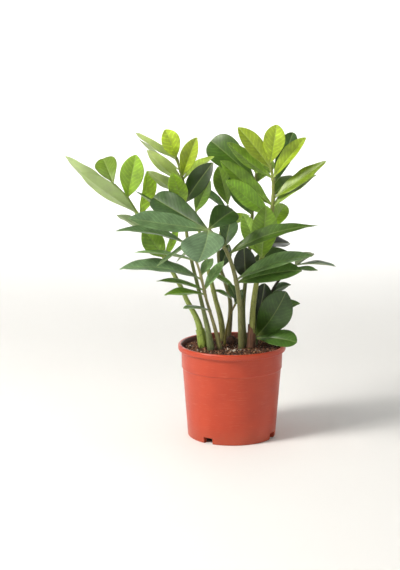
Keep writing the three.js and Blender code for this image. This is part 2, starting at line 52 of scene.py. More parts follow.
# ---- the fronds, as the CAD model has them ----
# A frond is a stem and its leaflets. The stem runs through the points of path, from its foot
# in the soil to its tip. Its radii are those of the foot, the neck above it and the tip. A leaflet is a row:
# [how far up the stem, reach from the stem to the leaflet's tip, width,
#  facing: degrees that the upper side looks down from straight up towards the front,
#  turn: degrees that this direction is swung towards +X,
#  arch: rise of the middle above the straight line, sweep: sideways bend of the middle,
#  fold: degrees that each half rises from the midrib,
#  tip power: how it narrows to its tip, about 1 for a long point and 0.5 for a blunt one].
# Rows under leaflets stand for CAD nodes of their own. Rows under small are one node with the stem.
FRONDS = {
    "a": {
        "radii": [8.2, 4.6, 2.0],
        "path": [[-43, -3, 130], [-50, -5, 170], [-57, -6, 192], [-71, -9, 219], [-79, -11, 238],
                 [-105, -15, 286], [-128, -19, 323], [-147, -23, 357], [-162, -26, 382],
                 [-183, -30, 405]],
        "leaflets": [
            [0.91, [-91, -3, 62], 32, -40, 0, -9, 0, 14, 1.0],
            [0.79, [-84, -39, 67], 36, -46, 0, -2, 0, 18, 0.95],
            [1.0, [-18, 45, 34], 36, 70, 0, 3, 0, 14, 0.6],
            [0.89, [15, -22, 69], 38, 84, 0, 4, 0, 16, 0.7],
            [0.76, [13, 0, 72], 36, 60, 50, 3, 0, 30, 0.7],
            [0.56, [-32, -25, 50], 36, 76, 0, 3, 0, 20, 0.8],
        ],
        "small": [
            [0.66, [-50, -51, 42], 24, -24, 0, 3, 0, 16, 0.8],
            [0.56, [20, 20, 46], 15, 50, 60, 2, 0, 16, 0.95],
        ],
    },
    "b": {
        "radii": [7.2, 3.3, 1.9],
        "path": [[-31, -24, 130], [-38, -23, 174], [-45, -21, 205], [-53, -20, 240],
                 [-67, -18, 300], [-74, -16, 354], [-75, -15, 393], [-80, -15, 421],
                 [-89, -15, 450]],
        "leaflets": [
            [0.97, [-17, -21, 45], 32, 80, 10, 3, 0, 22, 0.6],
            [0.84, [23, -10, 62], 31, 78, -10, 3, 0, 32, 0.8],
            [0.96, [-63, -17, 43], 27, -22, 0, -3, 0, 14, 1.0],
            [0.8, [-54, -35, 54], 30, -34, 0, -4, 0, 16, 0.95],
            [0.73, [-54, -47, 41], 28, -36, 0, -4, 0, 16, 0.95],
            [0.67, [-18, -54, 57], 30, 88, 0, 3, 0, 20, 0.8],
            [0.68, [44, -30, 66], 36, 70, -10, 4, 0, 20, 0.8],
        ],
        "small": [
            [0.89, [-67, 30, 47], 28, -24, 0, -4, 0, 14, 1.0],
            [0.82, [49, 20, 34], 22, 20, 0, 3, 0, 16, 0.8],
        ],
    },
    "c": {
        "radii": [5.8, 5.0, 1.5],
        "path": [[-11, 38, 130], [-17, 38, 177], [-26, 36, 213], [-36, 34, 255], [-46, 32, 299],
                 [-54, 30, 332], [-58, 30, 355]],
        "leaflets": [
            [0.98, [23, -6, 51], 26, 60, 0, 3, 0, 26, 0.8],
        ],
        "small": [
            [0.5, [40, 10, -27], 16, 30, 0, 2, 0, 16, 0.95],
            [0.39, [30, 9, -17], 14, 20, 0, 2, 0, 16, 0.95],
            [0.67, [-43, 28, -33], 22, 20, 0, 3, 0, 16, 0.95],
        ],
    },
    "d": {
        "radii": [5.0, 4.2, 1.6],
        "path": [[-6, 62, 130], [-2, 62, 172], [-2, 60, 205], [-10, 58, 235], [-20, 55, 268],
                 [-20, 52, 304], [-12, 50, 337], [-6, 48, 362]],
        "leaflets": [
            [1.0, [-15, -8, 62], 32, 76, 0, 3, 0, 20, 0.7],
        ],
        "small": [
            [0.95, [-46, 13, 31], 24, 20, 0, 3, 0, 18, 0.8],
            [0.8, [45, 29, 16], 26, 30, 0, 3, 0, 16, 0.95],
            [0.53, [14, 2, 39], 22, 70, 0, 2, 0, 16, 0.95],
        ],
    },
    "k": {
        "radii": [4.6, 3.9, 1.6],
        "path": [[24, 8, 130], [19, 9, 167], [18, 11, 202], [21, 15, 241], [27, 20, 285],
                 [30, 26, 324], [33, 31, 363], [36, 36, 394], [38, 38, 415]],
        "leaflets": [
            [0.92, [-70, 13, 61], 52, 74, 0, 8, 0, 14, 0.4],
            [0.7, [-36, -21, 64], 34, 60, 0, 3, 0, 16, 0.6],
            [0.46, [70, 14, 15], 32, 45, 0, 4, 0, 16, 0.95],
        ],
        "small": [
            [0.98, [5, 6, 37], 26, 74, 0, 3, 0, 22, 0.8],
            [0.78, [8, -22, 28], 18, 70, 0, 2, 0, 16, 0.95],
            [0.54, [67, 58, -3], 30, 40, 0, 4, 0, 16, 0.8],
            [0.39, [-4, -34, 60], 36, 80, 0, 3, 0, 16, 0.7],
            [0.89, [28, 39, 33], 28, 50, 0, 3, 0, 20, 0.8],
        ],
    },
    "e": {
        "radii": [6.6, 5.0, 1.9],
        "path": [[29, -15, 130], [31, -14, 175], [33, -12, 211], [39, -9, 254], [49, -5, 297],
                 [59, -1, 341], [63, 2, 375], [63, 4, 406], [58, 5, 432]],
        "leaflets": [
            [1.0, [9, -21, 62], 35, 84, 0, 3, 0, 16, 0.6],
            [0.96, [-52, -7, 65], 32, 62, 0, 4, 0, 20, 0.8],
            [0.89, [-72, -16, 57], 30, 40, 0, -4, 0, 16, 0.85],
            [0.72, [-82, -21, 72], 34, 50, 0, -3, 0, 16, 0.85],
            [0.66, [-72, -52, 61], 36, 60, 0, -3, 0, 20, 0.85],
            [0.47, [-31, -10, 70], 32, 80, 0, 3, 0, 24, 0.8],
            [0.89, [50, -9, 64], 30, 64, -20, 3, 0, 38, 0.8],
            [0.76, [82, -7, 60], 28, 36, 0, 0, 0, 14, 1.0],
            [0.71, [69, 7, 50], 27, 24, 0, 4, 0, 14, 1.0],
            [0.46, [4, -54, 92], 42, 88, 0, 4, 0, 14, 0.7],
            [0.84, [33, 54, 78], 30, 76, 0, 3, 0, 16, 0.6],
            [0.58, [29, 64, 35], 28, 76, 0, 3, 0, 16, 0.7],
        ],
        "small": [
            [0.78, [36, 59, 23], 28, 40, 0, 3, 0, 16, 0.95],
        ],
    },
    "f": {
        "radii": [5.4, 4.4, 2.0],
        "path": [[15, -16, 130], [13, -20, 181], [11, -27, 218], [5, -42, 257], [-4, -62, 291],
                 [-14, -82, 315], [-27, -102, 335], [-39, -120, 348]],
        "leaflets": [
            [0.98, [-119, -11, 19], 44, 34, 0, 0, 0, 14, 0.8],
            [0.95, [-86, 44, 45], 46, 50, 0, 0, 0, 14, 0.4],
            [0.99, [-15, -59, -39], 70, 46, -18, 0, -3, 20, 0.75],
            [0.99, [39, 41, 23], 42, 62, -10, 4, 0, 16, 0.7],
            [0.71, [10, 31, 40], 30, 76, 0, 3, 0, 20, 0.7],
            [0.91, [-119, 69, 56], 32, -12, 0, -6, 0, 16, 0.9],
            [0.63, [139, 5, 44], 31, 34, 0, 14, 0, 18, 1.5],
            [0.43, [117, -18, 41], 36, 28, 0, 8, 0, 18, 0.9],
            [0.41, [99, -26, 24], 40, 46, 0, 2, -4, 16, 0.8],
        ],
        "small": [
            [0.98, [-78, -15, -52], 16, 10, 0, 0, 0, 16, 0.95],
        ],
    },
    "g": {
        "radii": [5.2, 3.1, 1.4],
        "path": [[-16, -17, 130], [-24, -20, 165], [-32, -23, 194], [-41, -28, 226],
                 [-49, -36, 262], [-57, -42, 289], [-69, -48, 315]],
        "leaflets": [
            [0.64, [-126, -27, 21], 36, 26, 0, 12, 0, 18, 0.9],
            [0.99, [-111, -20, 24], 32, 16, 0, 8, 0, 16, 1.0],
        ],
        "small": [
            [0.4, [-41, -41, 11], 20, 12, 0, 2, 0, 16, 0.95],
            [0.53, [-63, -33, 5], 24, 20, 0, 3, 0, 16, 0.95],
            [0.56, [-74, -14, 17], 22, 12, 0, 4, 0, 16, 0.95],
            [0.82, [-95, -18, 16], 24, 2, 0, 4, 0, 16, 0.95],
            [0.67, [19, 16, 25], 18, 30, 0, 2, 0, 16, 0.95],
            [0.56, [31, 21, 43], 18, 30, 0, 2, 0, 16, 0.95],
        ],
    },
    "i": {
        "radii": [3.6, 3.2, 1.3],
        "path": [[44, 54, 130], [53, 64, 171], [61, 66, 207], [75, 60, 236], [92, 52, 255],
                 [104, 46, 266]],
        "leaflets": [],
        "small": [
            [1.0, [61, -18, 0], 24, 0, 0, 3, 0, 16, 0.95],
            [0.95, [28, -27, 25], 26, -30, 0, 3, 0, 16, 0.95],
            [0.45, [32, -5, 16], 22, 30, 0, 2, 0, 16, 0.95],
            [0.27, [55, -16, 18], 24, 40, 0, 3, 0, 16, 0.95],
            [0.7, [-28, 4, 20], 26, 40, 0, 3, 0, 16, 0.95],
            [0.83, [44, -7, 0], 12, 30, 0, 2, 0, 16, 0.95],
        ],
    },
    "j": {
        "radii": [3.4, 2.8, 2.2],
        "path": [[39, 14, 130], [39, 14, 148], [38, 13, 156]],
        "leaflets": [
            [0.98, [46, -27, 78], 56, 80, 0, 4, 4, 22, 0.6],
            [0.76, [63, -30, 0], 36, 42, 0, 5, 0, 12, 0.5],
            [1.0, [15, 31, 80], 36, 80, 0, 3, 0, 16, 0.7],
        ],
        "small": [],
    },
    "t": {
        "radii": [2.8, 2.0, 1.2],
        "path": [[-13, 6, 130], [-10, 5, 159], [-5, 3, 187], [2, 1, 204], [8, 0, 217]],
        "leaflets": [],
        "small": [
            [0.99, [-13, 4, 27], 16, 50, 0, 2, 0, 16, 0.95],
            [0.86, [12, -2, 25], 14, 60, 0, 2, 0, 16, 0.95],
        ],
    },
}

# Finish of each frond: the colour of its stem at the soil and at the tip, then three numbers for each
# leaflet, in the table's order: age from 0, young and lime, to 3, old and dark; bloom from 0 to 1,
# how much pale wax greys the green, which is partly a painted sheen; light, what the green is
# multiplied by, which is painted light and shade. The stem colours and the ages hold some painted
# shade too, such as the near black of stem i.
FINISH = {
    "a": {"stem": ("#8EA33F", "#93A161"),
          "leaflets": [(0.9, 0.1, 0.75), (1.1, 0.0, 1.05), (0.9, 0.1, 0.55), (1.0, 0.0, 1.0),
                       (0.6, 0.1, 1.7), (1.1, 0.2, 1.0)],
          "small": [(1.8, 0.5, 1.1), (1.0, 0.1, 1.5)]},
    "b": {"stem": ("#65714B", "#7F8948"),
          "leaflets": [(0.0, 0.1, 1.45), (0.0, 0.0, 0.7), (0.0, 0.4, 1.4), (0.2, 0.0, 1.3),
                       (0.4, 0.0, 1.0), (0.9, 0.0, 1.3), (2.6, 0.0, 0.35)],
          "small": [(0.9, 0.0, 0.55), (0.2, 0.3, 1.2)]},
    "c": {"stem": ("#746243", "#9CAF5B"),
          "leaflets": [(1.6, 0.0, 0.75)],
          "small": [(1.7, 0.2, 1.0), (1.8, 0.2, 1.0), (2.0, 0.6, 1.0)]},
    "d": {"stem": ("#625238", "#747D49"),
          "leaflets": [(1.2, 0.1, 0.65)],
          "small": [(2.8, 0.4, 1.05), (0.5, 0.2, 1.2), (2.9, 0.0, 0.6)]},
    "k": {"stem": ("#4F4C2A", "#717940"),
          "leaflets": [(1.9, 0.0, 0.6), (2.0, 0.0, 0.9), (1.9, 0.2, 0.35)],
          "small": [(1.0, 0.0, 1.0), (1.5, 0.0, 1.0), (3.0, 0.0, 0.35), (3.0, 0.0, 0.35),
                    (0.8, 0.3, 0.8)]},
    "e": {"stem": ("#74753A", "#8C954A"),
          "leaflets": [(0.1, 0.0, 0.95), (0.1, 0.0, 0.7), (1.2, 0.1, 0.95), (1.4, 0.0, 1.05),
                       (1.5, 0.0, 1.7), (0.9, 0.3, 1.0), (0.2, 0.0, 0.8), (0.6, 0.0, 0.65),
                       (0.7, 0.3, 0.9), (1.3, 0.0, 0.85), (2.4, 0.0, 0.8), (1.0, 0.0, 1.0)],
          "small": [(1.6, 0.0, 0.55)]},
    "f": {"stem": ("#6E6F44", "#7D7E50"),
          "leaflets": [(2.5, 0.8, 1.0), (2.9, 0.1, 1.05), (3.0, 1.0, 1.05), (2.9, 0.0, 0.9),
                       (2.6, 0.2, 0.8), (2.5, 0.2, 0.95), (1.8, 0.1, 0.5), (1.8, 0.8, 0.95),
                       (1.9, 0.2, 0.7)],
          "small": [(2.7, 0.4, 0.85)]},
    "g": {"stem": ("#7C7646", "#9A9769"),
          "leaflets": [(2.8, 0.9, 1.05), (2.8, 0.6, 1.0)],
          "small": [(2.3, 0.0, 1.0), (1.7, 0.1, 0.9), (1.5, 0.4, 1.05), (1.6, 1.0, 1.3),
                    (1.5, 1.0, 0.9), (1.6, 1.0, 1.35)]},
    "i": {"stem": ("#212115", "#2C2C1F"),
          "leaflets": [],
          "small": [(3.0, 0.8, 1.0), (2.9, 0.7, 1.0), (3.0, 0.3, 0.75), (2.0, 0.1, 0.65),
                    (2.8, 0.0, 1.0), (1.7, 1.0, 1.0)]},
    "j": {"stem": ("#606347", "#616F47"),
          "leaflets": [(2.9, 0.0, 1.0), (2.3, 0.1, 1.0), (3.0, 0.0, 0.35)],
          "small": []},
    "t": {"stem": ("#7D7832", "#6F6134"),
          "leaflets": [],
          "small": [(1.8, 0.2, 0.45), (2.3, 0.1, 0.4)]},
}
LEAF_AGES = ["#A8C02C", "#83A92A", "#4C751B", "#2A4414"]  # sampled at ages 0, 1, 2 and 3
# Pale grey-green of wax bloom, used also as a painted sheen
BLOOM_AND_SHEEN = "#7E9A78"

# ---- sizes, in millimetres ----
BASE_POWER = 1.15  # how a blade widens from its base
PETIOLE_RADIUS = 1.3
BLADE_THICKNESS = 1.1  # at the midrib
MARGIN_THICKNESS = 0.35
GROOVE_DEPTH = 0.35  # along the midrib, upper side
RIB_HEIGHT = 0.8  # along the midrib, underside
RIB_WIDTH = 1.1
VEIN_SPACING = 7.5
VEIN_SLOPE = 0.8  # how far a side vein runs forwards for each millimetre outwards
BLADE_ROWS = 54
BLADE_ACROSS = np.array([0.0, 0.05, 0.13, 0.24, 0.37, 0.52, 0.68, 0.83, 0.94, 1.0])
PETIOLE_TIP = 0.15  # what is left of the petiole's radius at the blade's tip
PETIOLE_GREEN = "#8C9C52"
FOOT_POWER = 8  # how fast the swelling at a stem's foot dies away
NODE_SWELLING = 0.5  # of the ring under each leaflet
NODE_DROP = 1.5  # from the leaflet's foot down to the ring
NODE_REACH = 2.6  # of the ring along the stem
FOOT_DARKENING_RISE = 7.0  # how far above the soil a stem's foot stays darker
SHEATH_WALL = 0.6
STEM_ROWS = 120
STEM_AROUND = 20
POT_AROUND = 192

pot_low, pot_high = [np.array(corner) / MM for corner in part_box("pot")]
crown_low, crown_high = [np.array(corner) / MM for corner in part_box("crown")]
RIM_RADIUS = 0.5 * (pot_high[0] - pot_low[0])
POT_HEIGHT = pot_high[2]
WALL = 2.0
BEAD_FOOT = POT_HEIGHT - 9.0
SHOULDER_HEIGHT = 109.5
SHOULDER_STEP = 1.5
BAND_LEAN = 0.7  # outwards, from the shoulder up to the rim
RIM_WIDTH = 5.0
NOTCH_DEPTH = 16.0
SHARP_EDGE = 35  # degrees between faces from which an edge of the pot shades sharp
BASE_RADIUS = 69.5
WALL_TOP_RADIUS = RIM_RADIUS - RIM_WIDTH
RING_WIDTH = 7.0
FOOT_PAD_RADIUS = 30.0
RECESS = 5.0
FLOOR_TOP = 7.0
DRAIN_ANGLES = [-33, 65, 147, 245]  # degrees from the front, positive towards +X
DRAIN_WIDTH = 16.0
DRAIN_HEIGHT = 10.0
SOIL_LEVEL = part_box("soil")[1][2] / MM
GRAIN_REACH = 74.0  # of the loose grains from the pot's axis
PEAT_CRUMBS = 2000
BARK_CHIPS = 650
LIGHT_GRAINS = 90  # all over the soil
LIGHT_HEAP = 110  # more of them in one heap
LIGHT_HEAP_AT = (2.0, -24.0)
LIGHT_HEAP_REACH = 12.0

# ---- patterns, in cells to the metre: 1000 over the size in millimetres ----
VEIN_DRIFT = 60.0  # 17 mm, how the side veins wander
LEAF_BLOTCH = 70.0  # 14 mm
LEAF_GRAIN = 420.0  # 2.4 mm, coarser than the real pebble so that it shows
POT_CLOUD = 28.0  # 36 mm, flow marks of the moulding
POT_SCUFF = 60.0  # 17 mm along the wall
SCUFF_FINER = 14.0  # how much finer the scuffs are up the wall than along it
POT_SPECK = 240.0  # 4 mm
SOIL_CRUMB = 260.0  # 4 mm
SOIL_PATCH = 90.0  # 11 mm
GRAIN_FLECK = 900.0  # 1 mm
TUBER_SCAR = 220.0  # 4.5 mm
PAPER_TOOTH = 3.0  # 330 mm
NOISE_SPAN = {"From Min": 0.3, "From Max": 0.7}  # where nearly all of a noise's values lie
RGB = {"data_type": "RGBA"}


# ---- maths ----
def unit(vectors):
    """Each vector divided by its own length."""
    return vectors / np.linalg.norm(vectors, axis=-1, keepdims=True)


def smooth_step(low, high, value):
    """0 below low and 1 above high, with 3t^2 - 2t^3 between them."""
    t = np.clip((value - low) / (high - low), 0.0, 1.0)
    return t * t * (3 - 2 * t)


def noise(points, size, seed):
    """Smooth random values from -1 to 1 in space: every corner of a lattice of the given size has a
    hashed value, and a point takes the mean of its eight corners, weighted by 3t^2 - 2t^3 each way."""
    place = np.asarray(points, float) / size
    cell = np.floor(place).astype(np.int64)
    t = place - cell
    t = t * t * (3 - 2 * t)
    total = np.zeros(place.shape[:-1])
    for corner in itertools.product((0, 1), repeat=3):
        x, y, z = np.moveaxis(cell + np.array(corner), -1, 0)
        mixed = (x * 73856093) ^ (y * 19349663) ^ (z * 83492791) ^ (seed * 2654435761)
        mixed = ((mixed ^ (mixed >> 13)) * 1274126177) & 0xFFFFFFFF
        value = ((mixed ^ (mixed >> 16)) & 0xFFFF) / 32767.5 - 1
        total += value * np.prod(np.where(corner, t, 1 - t), axis=-1)
    return total


def curve_points(path, t):
    """Points at t, from 0 to 1, on the uniform Catmull-Rom curve through path, whose end points are
    reflected to make the outermost control points."""
    path = np.asarray(path, float)
    control = np.vstack([2 * path[0] - path[1], path, 2 * path[-1] - path[-2]])
    spans = len(path) - 1
    place = np.clip(np.atleast_1d(t), 0, 1) * spans
    span = np.minimum(place.astype(int), spans - 1)
    w = (place - span)[:, None]
    before, here, after, beyond = (control[span + i] for i in range(4))
    leave = (after - before) / 2
    arrive = (beyond - here) / 2
    return ((2 * here - 2 * after + leave + arrive) * w**3
            + (-3 * here + 3 * after - 2 * leave - arrive) * w**2 + leave * w + here)


def stem_radius(frond, t):
    """The stem's radius: it falls evenly from neck to tip, plus a swelling of the foot that dies away
    as the eighth power of what is left of the stem."""
    foot, neck, tip = frond["radii"]
    return neck + (tip - neck) * t + (foot - neck) * (1 - t) ** FOOT_POWER


# ---- meshes ----
def rings_to_faces(rows, around, looped):
    """Quads between neighbouring rings of a grid, and where the rows don't loop, fans of triangles
    that close the first and the last ring on a pole."""
    ring = np.arange(around)
    ahead = (ring + 1) % around
    first = np.arange(rows if looped else rows - 1)[:, None] * around
    second = (first + around) % (rows * around) if looped else first + around
    quads = np.stack([first + ring, first + ahead, second + ahead, second + ring], -1).reshape(-1, 4)
    if looped:
        return quads, np.empty((0, 3), int)
    low = rows * around
    last = (rows - 1) * around
    fans = np.vstack([np.stack([ahead, ring, np.full(around, low)], -1),
                      np.stack([last + ring, last + ahead, np.full(around, low + 1)], -1)])
    return quads, fans


def mesh_from(name, points, quads, triangles, attributes):
    """A smooth mesh of quads and triangles, turned so that it holds a positive volume: the sum over
    its triangles of the box product of their corners."""
    split = np.vstack([triangles, quads[:, [0, 1, 2]], quads[:, [0, 2, 3]]])
    a, b, c = (points[split[:, i]] for i in range(3))
    if np.einsum("ij,ij->", a, np.cross(b, c)) < 0:
        quads = quads[:, ::-1]
        triangles = triangles[:, ::-1]
    mesh = bpy.data.meshes.new(name)
    mesh.vertices.add(len(points))
    mesh.vertices.foreach_set("co", (points * MM).astype(np.float32).ravel())
    corners = np.concatenate([quads.ravel(), triangles.ravel()]).astype(np.int32)
    sizes = np.concatenate([np.full(len(quads), 4), np.full(len(triangles), 3)])
    mesh.loops.add(len(corners))
    mesh.loops.foreach_set("vertex_index", corners)
    mesh.polygons.add(len(sizes))
    mesh.polygons.foreach_set("loop_start", (np.cumsum(sizes) - sizes).astype(np.int32))
    mesh.polygons.foreach_set("use_smooth", np.ones(len(sizes), bool))
    mesh.update(calc_edges=True)
    for key, values in attributes.items():
        layer = mesh.attributes.new(key, "FLOAT_VECTOR", "POINT")
        layer.data.foreach_set("vector", np.asarray(values, np.float32).ravel())
    mesh.validate()
    return mesh


def piece(name, mesh, material, slot, *nodes):
    """Puts a mesh in the scene as a piece that rides the plant's one body and stands for CAD nodes."""
    made = bpy.data.objects.new(name, mesh)
    bpy.context.collection.objects.link(made)
    mesh.materials.append(material)
    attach(made, "root")
    if nodes:
        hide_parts(*nodes)
    return made


def skin(name, grid, attributes=None, looped=False):
    """A closed mesh over a grid of rings. Where the rows don't loop, each end closes on a pole at the
    middle of its ring, and the pole's attributes are its ring's mean."""
    rows, around = grid.shape[:2]
    quads, fans = rings_to_faces(rows, around, looped)
    attributes = attributes or {}
    if looped:
        points = grid.reshape(-1, 3)
        values = {key: value.reshape(-1, 3) for key, value in attributes.items()}
    else:
        points = np.vstack([grid.reshape(-1, 3), grid[0].mean(axis=0), grid[-1].mean(axis=0)])
        values = {key: np.vstack([value.reshape(-1, 3), value[0].mean(axis=0), value[-1].mean(axis=0)])
                  for key, value in attributes.items()}
    return mesh_from(name, points, quads, fans, values)


# ---- colours and material nodes ----
def paint(hex_code):
    """An sRGB hex colour as linear red, green, blue and full alpha."""
    channels = np.array([int(hex_code[i:i + 2], 16) for i in (1, 3, 5)]) / 255
    linear = np.where(channels <= 0.04045, channels / 12.92, ((channels + 0.055) / 1.055) ** 2.4)
    return (*linear.tolist(), 1.0)


def ramp(colours, values):
    """Linear colours interpolated between evenly numbered hex colours, at values from 0 up."""
    known = np.array([paint(colour)[:3] for colour in colours])
    steps = np.arange(len(colours))
    return np.stack([np.interp(values, steps, known[:, i]) for i in range(3)], -1)


def new_material(name):
    """An empty node material with its output, and its tree."""
    material = bpy.data.materials.new(name)
    material.use_nodes = True
    material.node_tree.nodes.clear()
    return material, material.node_tree


def add(tree, kind, sockets=None, **settings):
    """Adds a node with its settings. Each socket, by number or name, takes a value, or a link from a
    node, whose first live output is used, or from a (node, output name) pair."""
    node = tree.nodes.new(kind)
    for key, value in settings.items():
        setattr(node, key, value)
    for key, value in (sockets or {}).items():
        if isinstance(key, int):
            socket = node.inputs[key]
        else:
            socket = next(s for s in node.inputs if s.enabled and s.name == key)
        if isinstance(value, bpy.types.Node):
            tree.links.new(next(o for o in value.outputs if o.enabled), socket)
        elif isinstance(value, tuple) and isinstance(value[0], bpy.types.Node):
            tree.links.new(value[0].outputs[value[1]], socket)
        else:
            socket.default_value = value
    return node


def leaf_blade_material():
    """Waxy leaf blade, grown: a thick cuticle over a soft green layer. The eye sees a satin gloss that
    breaks up on fine veins, a paler groove down the middle, a pale underside and slow blotches."""
    material, tree = new_material("waxy_leaf_blade_grown")
    place = add(tree, "ShaderNodeSeparateXYZ",
                {0: (add(tree, "ShaderNodeAttribute", attribute_name="blade_place"), "Vector")})
    look = add(tree, "ShaderNodeSeparateXYZ",
               {0: (add(tree, "ShaderNodeAttribute", attribute_name="blade_look"), "Vector")})
    green = add(tree, "ShaderNodeAttribute", attribute_name="blade_green")
    space = add(tree, "ShaderNodeTexCoord")
    off_rib = add(tree, "ShaderNodeMath", {0: (place, "Y")}, operation="ABSOLUTE")

    # Side veins: lines that leave the midrib every few millimetres and lean towards the tip.
    lean = add(tree, "ShaderNodeMath", {0: off_rib, 1: VEIN_SLOPE}, operation="MULTIPLY")
    curl = add(tree, "ShaderNodeMath", {0: off_rib, 1: off_rib}, operation="MULTIPLY")
    curl = add(tree, "ShaderNodeMath", {0: curl, 1: 0.015, 2: lean}, operation="MULTIPLY_ADD")
    left = add(tree, "ShaderNodeMath", {0: (place, "Y"), 1: 0.0}, operation="LESS_THAN")
    stagger = add(tree, "ShaderNodeMath", {0: left, 1: 0.5 * VEIN_SPACING, 2: (place, "X")},
                  operation="MULTIPLY_ADD")
    phase = add(tree, "ShaderNodeMath", {0: stagger, 1: curl}, operation="SUBTRACT")
    drift = add(tree, "ShaderNodeTexNoise", {"Vector": (space, "Object"), "Scale": VEIN_DRIFT})
    phase = add(tree, "ShaderNodeMath", {0: (drift, "Fac"), 1: 9.0, 2: phase}, operation="MULTIPLY_ADD")
    gap = add(tree, "ShaderNodeMath", {0: phase, 1: 0.5 * VEIN_SPACING}, operation="PINGPONG")
    vein = add(tree, "ShaderNodeMapRange",
               {"Value": gap, "From Min": 0.0, "From Max": 1.6, "To Min": 1.0, "To Max": 0.0},
               interpolation_type="SMOOTHSTEP")
    rib = add(tree, "ShaderNodeMapRange",
              {"Value": off_rib, "From Min": 0.35, "From Max": 1.25, "To Min": 1.0, "To Max": 0.0},
              interpolation_type="SMOOTHSTEP")
    edge = add(tree, "ShaderNodeMapRange",
               {"Value": (place, "Z"), "From Min": 0.2, "From Max": 0.9, "To Min": 1.0, "To Max": 0.0},
               interpolation_type="SMOOTHSTEP")

    # Upper side: the green, with its painted light and shade, in slow blotches, lighter on veins and rib;
    # painted light at the margin.
    blotch = add(tree, "ShaderNodeTexNoise",
                 {"Vector": (space, "Object"), "Scale": LEAF_BLOTCH, "Detail": 4.0, "Roughness": 0.6})
    tint = add(tree, "ShaderNodeMapRange", {"Value": (blotch, "Fac"), **NOISE_SPAN,
                "To Min": 0.72, "To Max": 1.26})
    shaded = add(tree, "ShaderNodeVectorMath", {0: (green, "Vector"), 1: tint}, operation="MULTIPLY")
    lighter = add(tree, "ShaderNodeVectorMath", {0: shaded, "Scale": 1.55}, operation="SCALE")
    vein_share = add(tree, "ShaderNodeMath", {0: vein, 1: (blotch, "Fac")}, operation="MULTIPLY")
    veined = add(tree, "ShaderNodeMix", {"Factor": vein_share, "A": shaded, "B": lighter}, **RGB)
    rib_share = add(tree, "ShaderNodeMath", {0: rib, 1: 0.22}, operation="MULTIPLY")
    ribbed = add(tree, "ShaderNodeMix", {"Factor": rib_share, "A": veined, "B": paint("#B4C67C")},
                 **RGB)
    # Painted light: the margin is lightened as light shows through the thin edge.
    margin_glow_share = add(tree, "ShaderNodeMath", {0: edge, 1: 0.15}, operation="MULTIPLY")
    upper = add(tree, "ShaderNodeMix", {"Factor": margin_glow_share, "A": ribbed, "B": paint("#A9BE60")},
                **RGB)

    # Underside: the same green under a pale, matt skin, with the rib standing out lighter.
    pale = add(tree, "ShaderNodeMix", {"Factor": 0.5, "A": shaded, "B": paint("#B9C59A")}, **RGB)
    under_rib = add(tree, "ShaderNodeMix", {"Factor": rib_share, "A": pale, "B": paint("#CBD6A6")},
                    **RGB)
    colour = add(tree, "ShaderNodeMix", {"Factor": (look, "Z"), "A": upper, "B": under_rib}, **RGB)

    # Gloss: satin wax, duller where bloom lies, on the underside and in a fine pebble.
    grain = add(tree, "ShaderNodeTexNoise",
                {"Vector": (space, "Object"), "Scale": LEAF_GRAIN, "Detail": 3.0})
    dull = add(tree, "ShaderNodeMapRange",
               {"Value": (look, "Z"), "From Min": 0.0, "From Max": 1.0, "To Min": 0.34, "To Max": 0.52})
    dull = add(tree, "ShaderNodeMath", {0: (look, "Y"), 1: 0.08, 2: dull}, operation="MULTIPLY_ADD")
    rough = add(tree, "ShaderNodeMath", {0: (grain, "Fac"), 1: 0.12, 2: dull}, operation="MULTIPLY_ADD")

    # Relief: low pillows between the side veins, and a pebbled skin everywhere.
    pillow = add(tree, "ShaderNodeMapRange",
                 {"Value": gap, "From Min": 0.0, "From Max": 0.5 * VEIN_SPACING,
                  "To Min": 0.0, "To Max": 1.0}, interpolation_type="SMOOTHERSTEP")
    uneven = add(tree, "ShaderNodeMath", {0: pillow, 1: (blotch, "Fac")}, operation="MULTIPLY")
    pebble = add(tree, "ShaderNodeMath", {0: (grain, "Fac"), 1: 0.35, 2: uneven},
                 operation="MULTIPLY_ADD")
    relief = add(tree, "ShaderNodeBump", {"Strength": 0.3, "Distance": 0.00035, "Height": pebble})
    surface = add(tree, "ShaderNodeBsdfPrincipled",
                  {"Base Color": colour, "Roughness": rough, "IOR": 1.45, "Normal": relief,
                   "Coat Weight": 0.25, "Coat Roughness": 0.3})
    add(tree, "ShaderNodeOutputMaterial", {"Surface": surface})
    return material


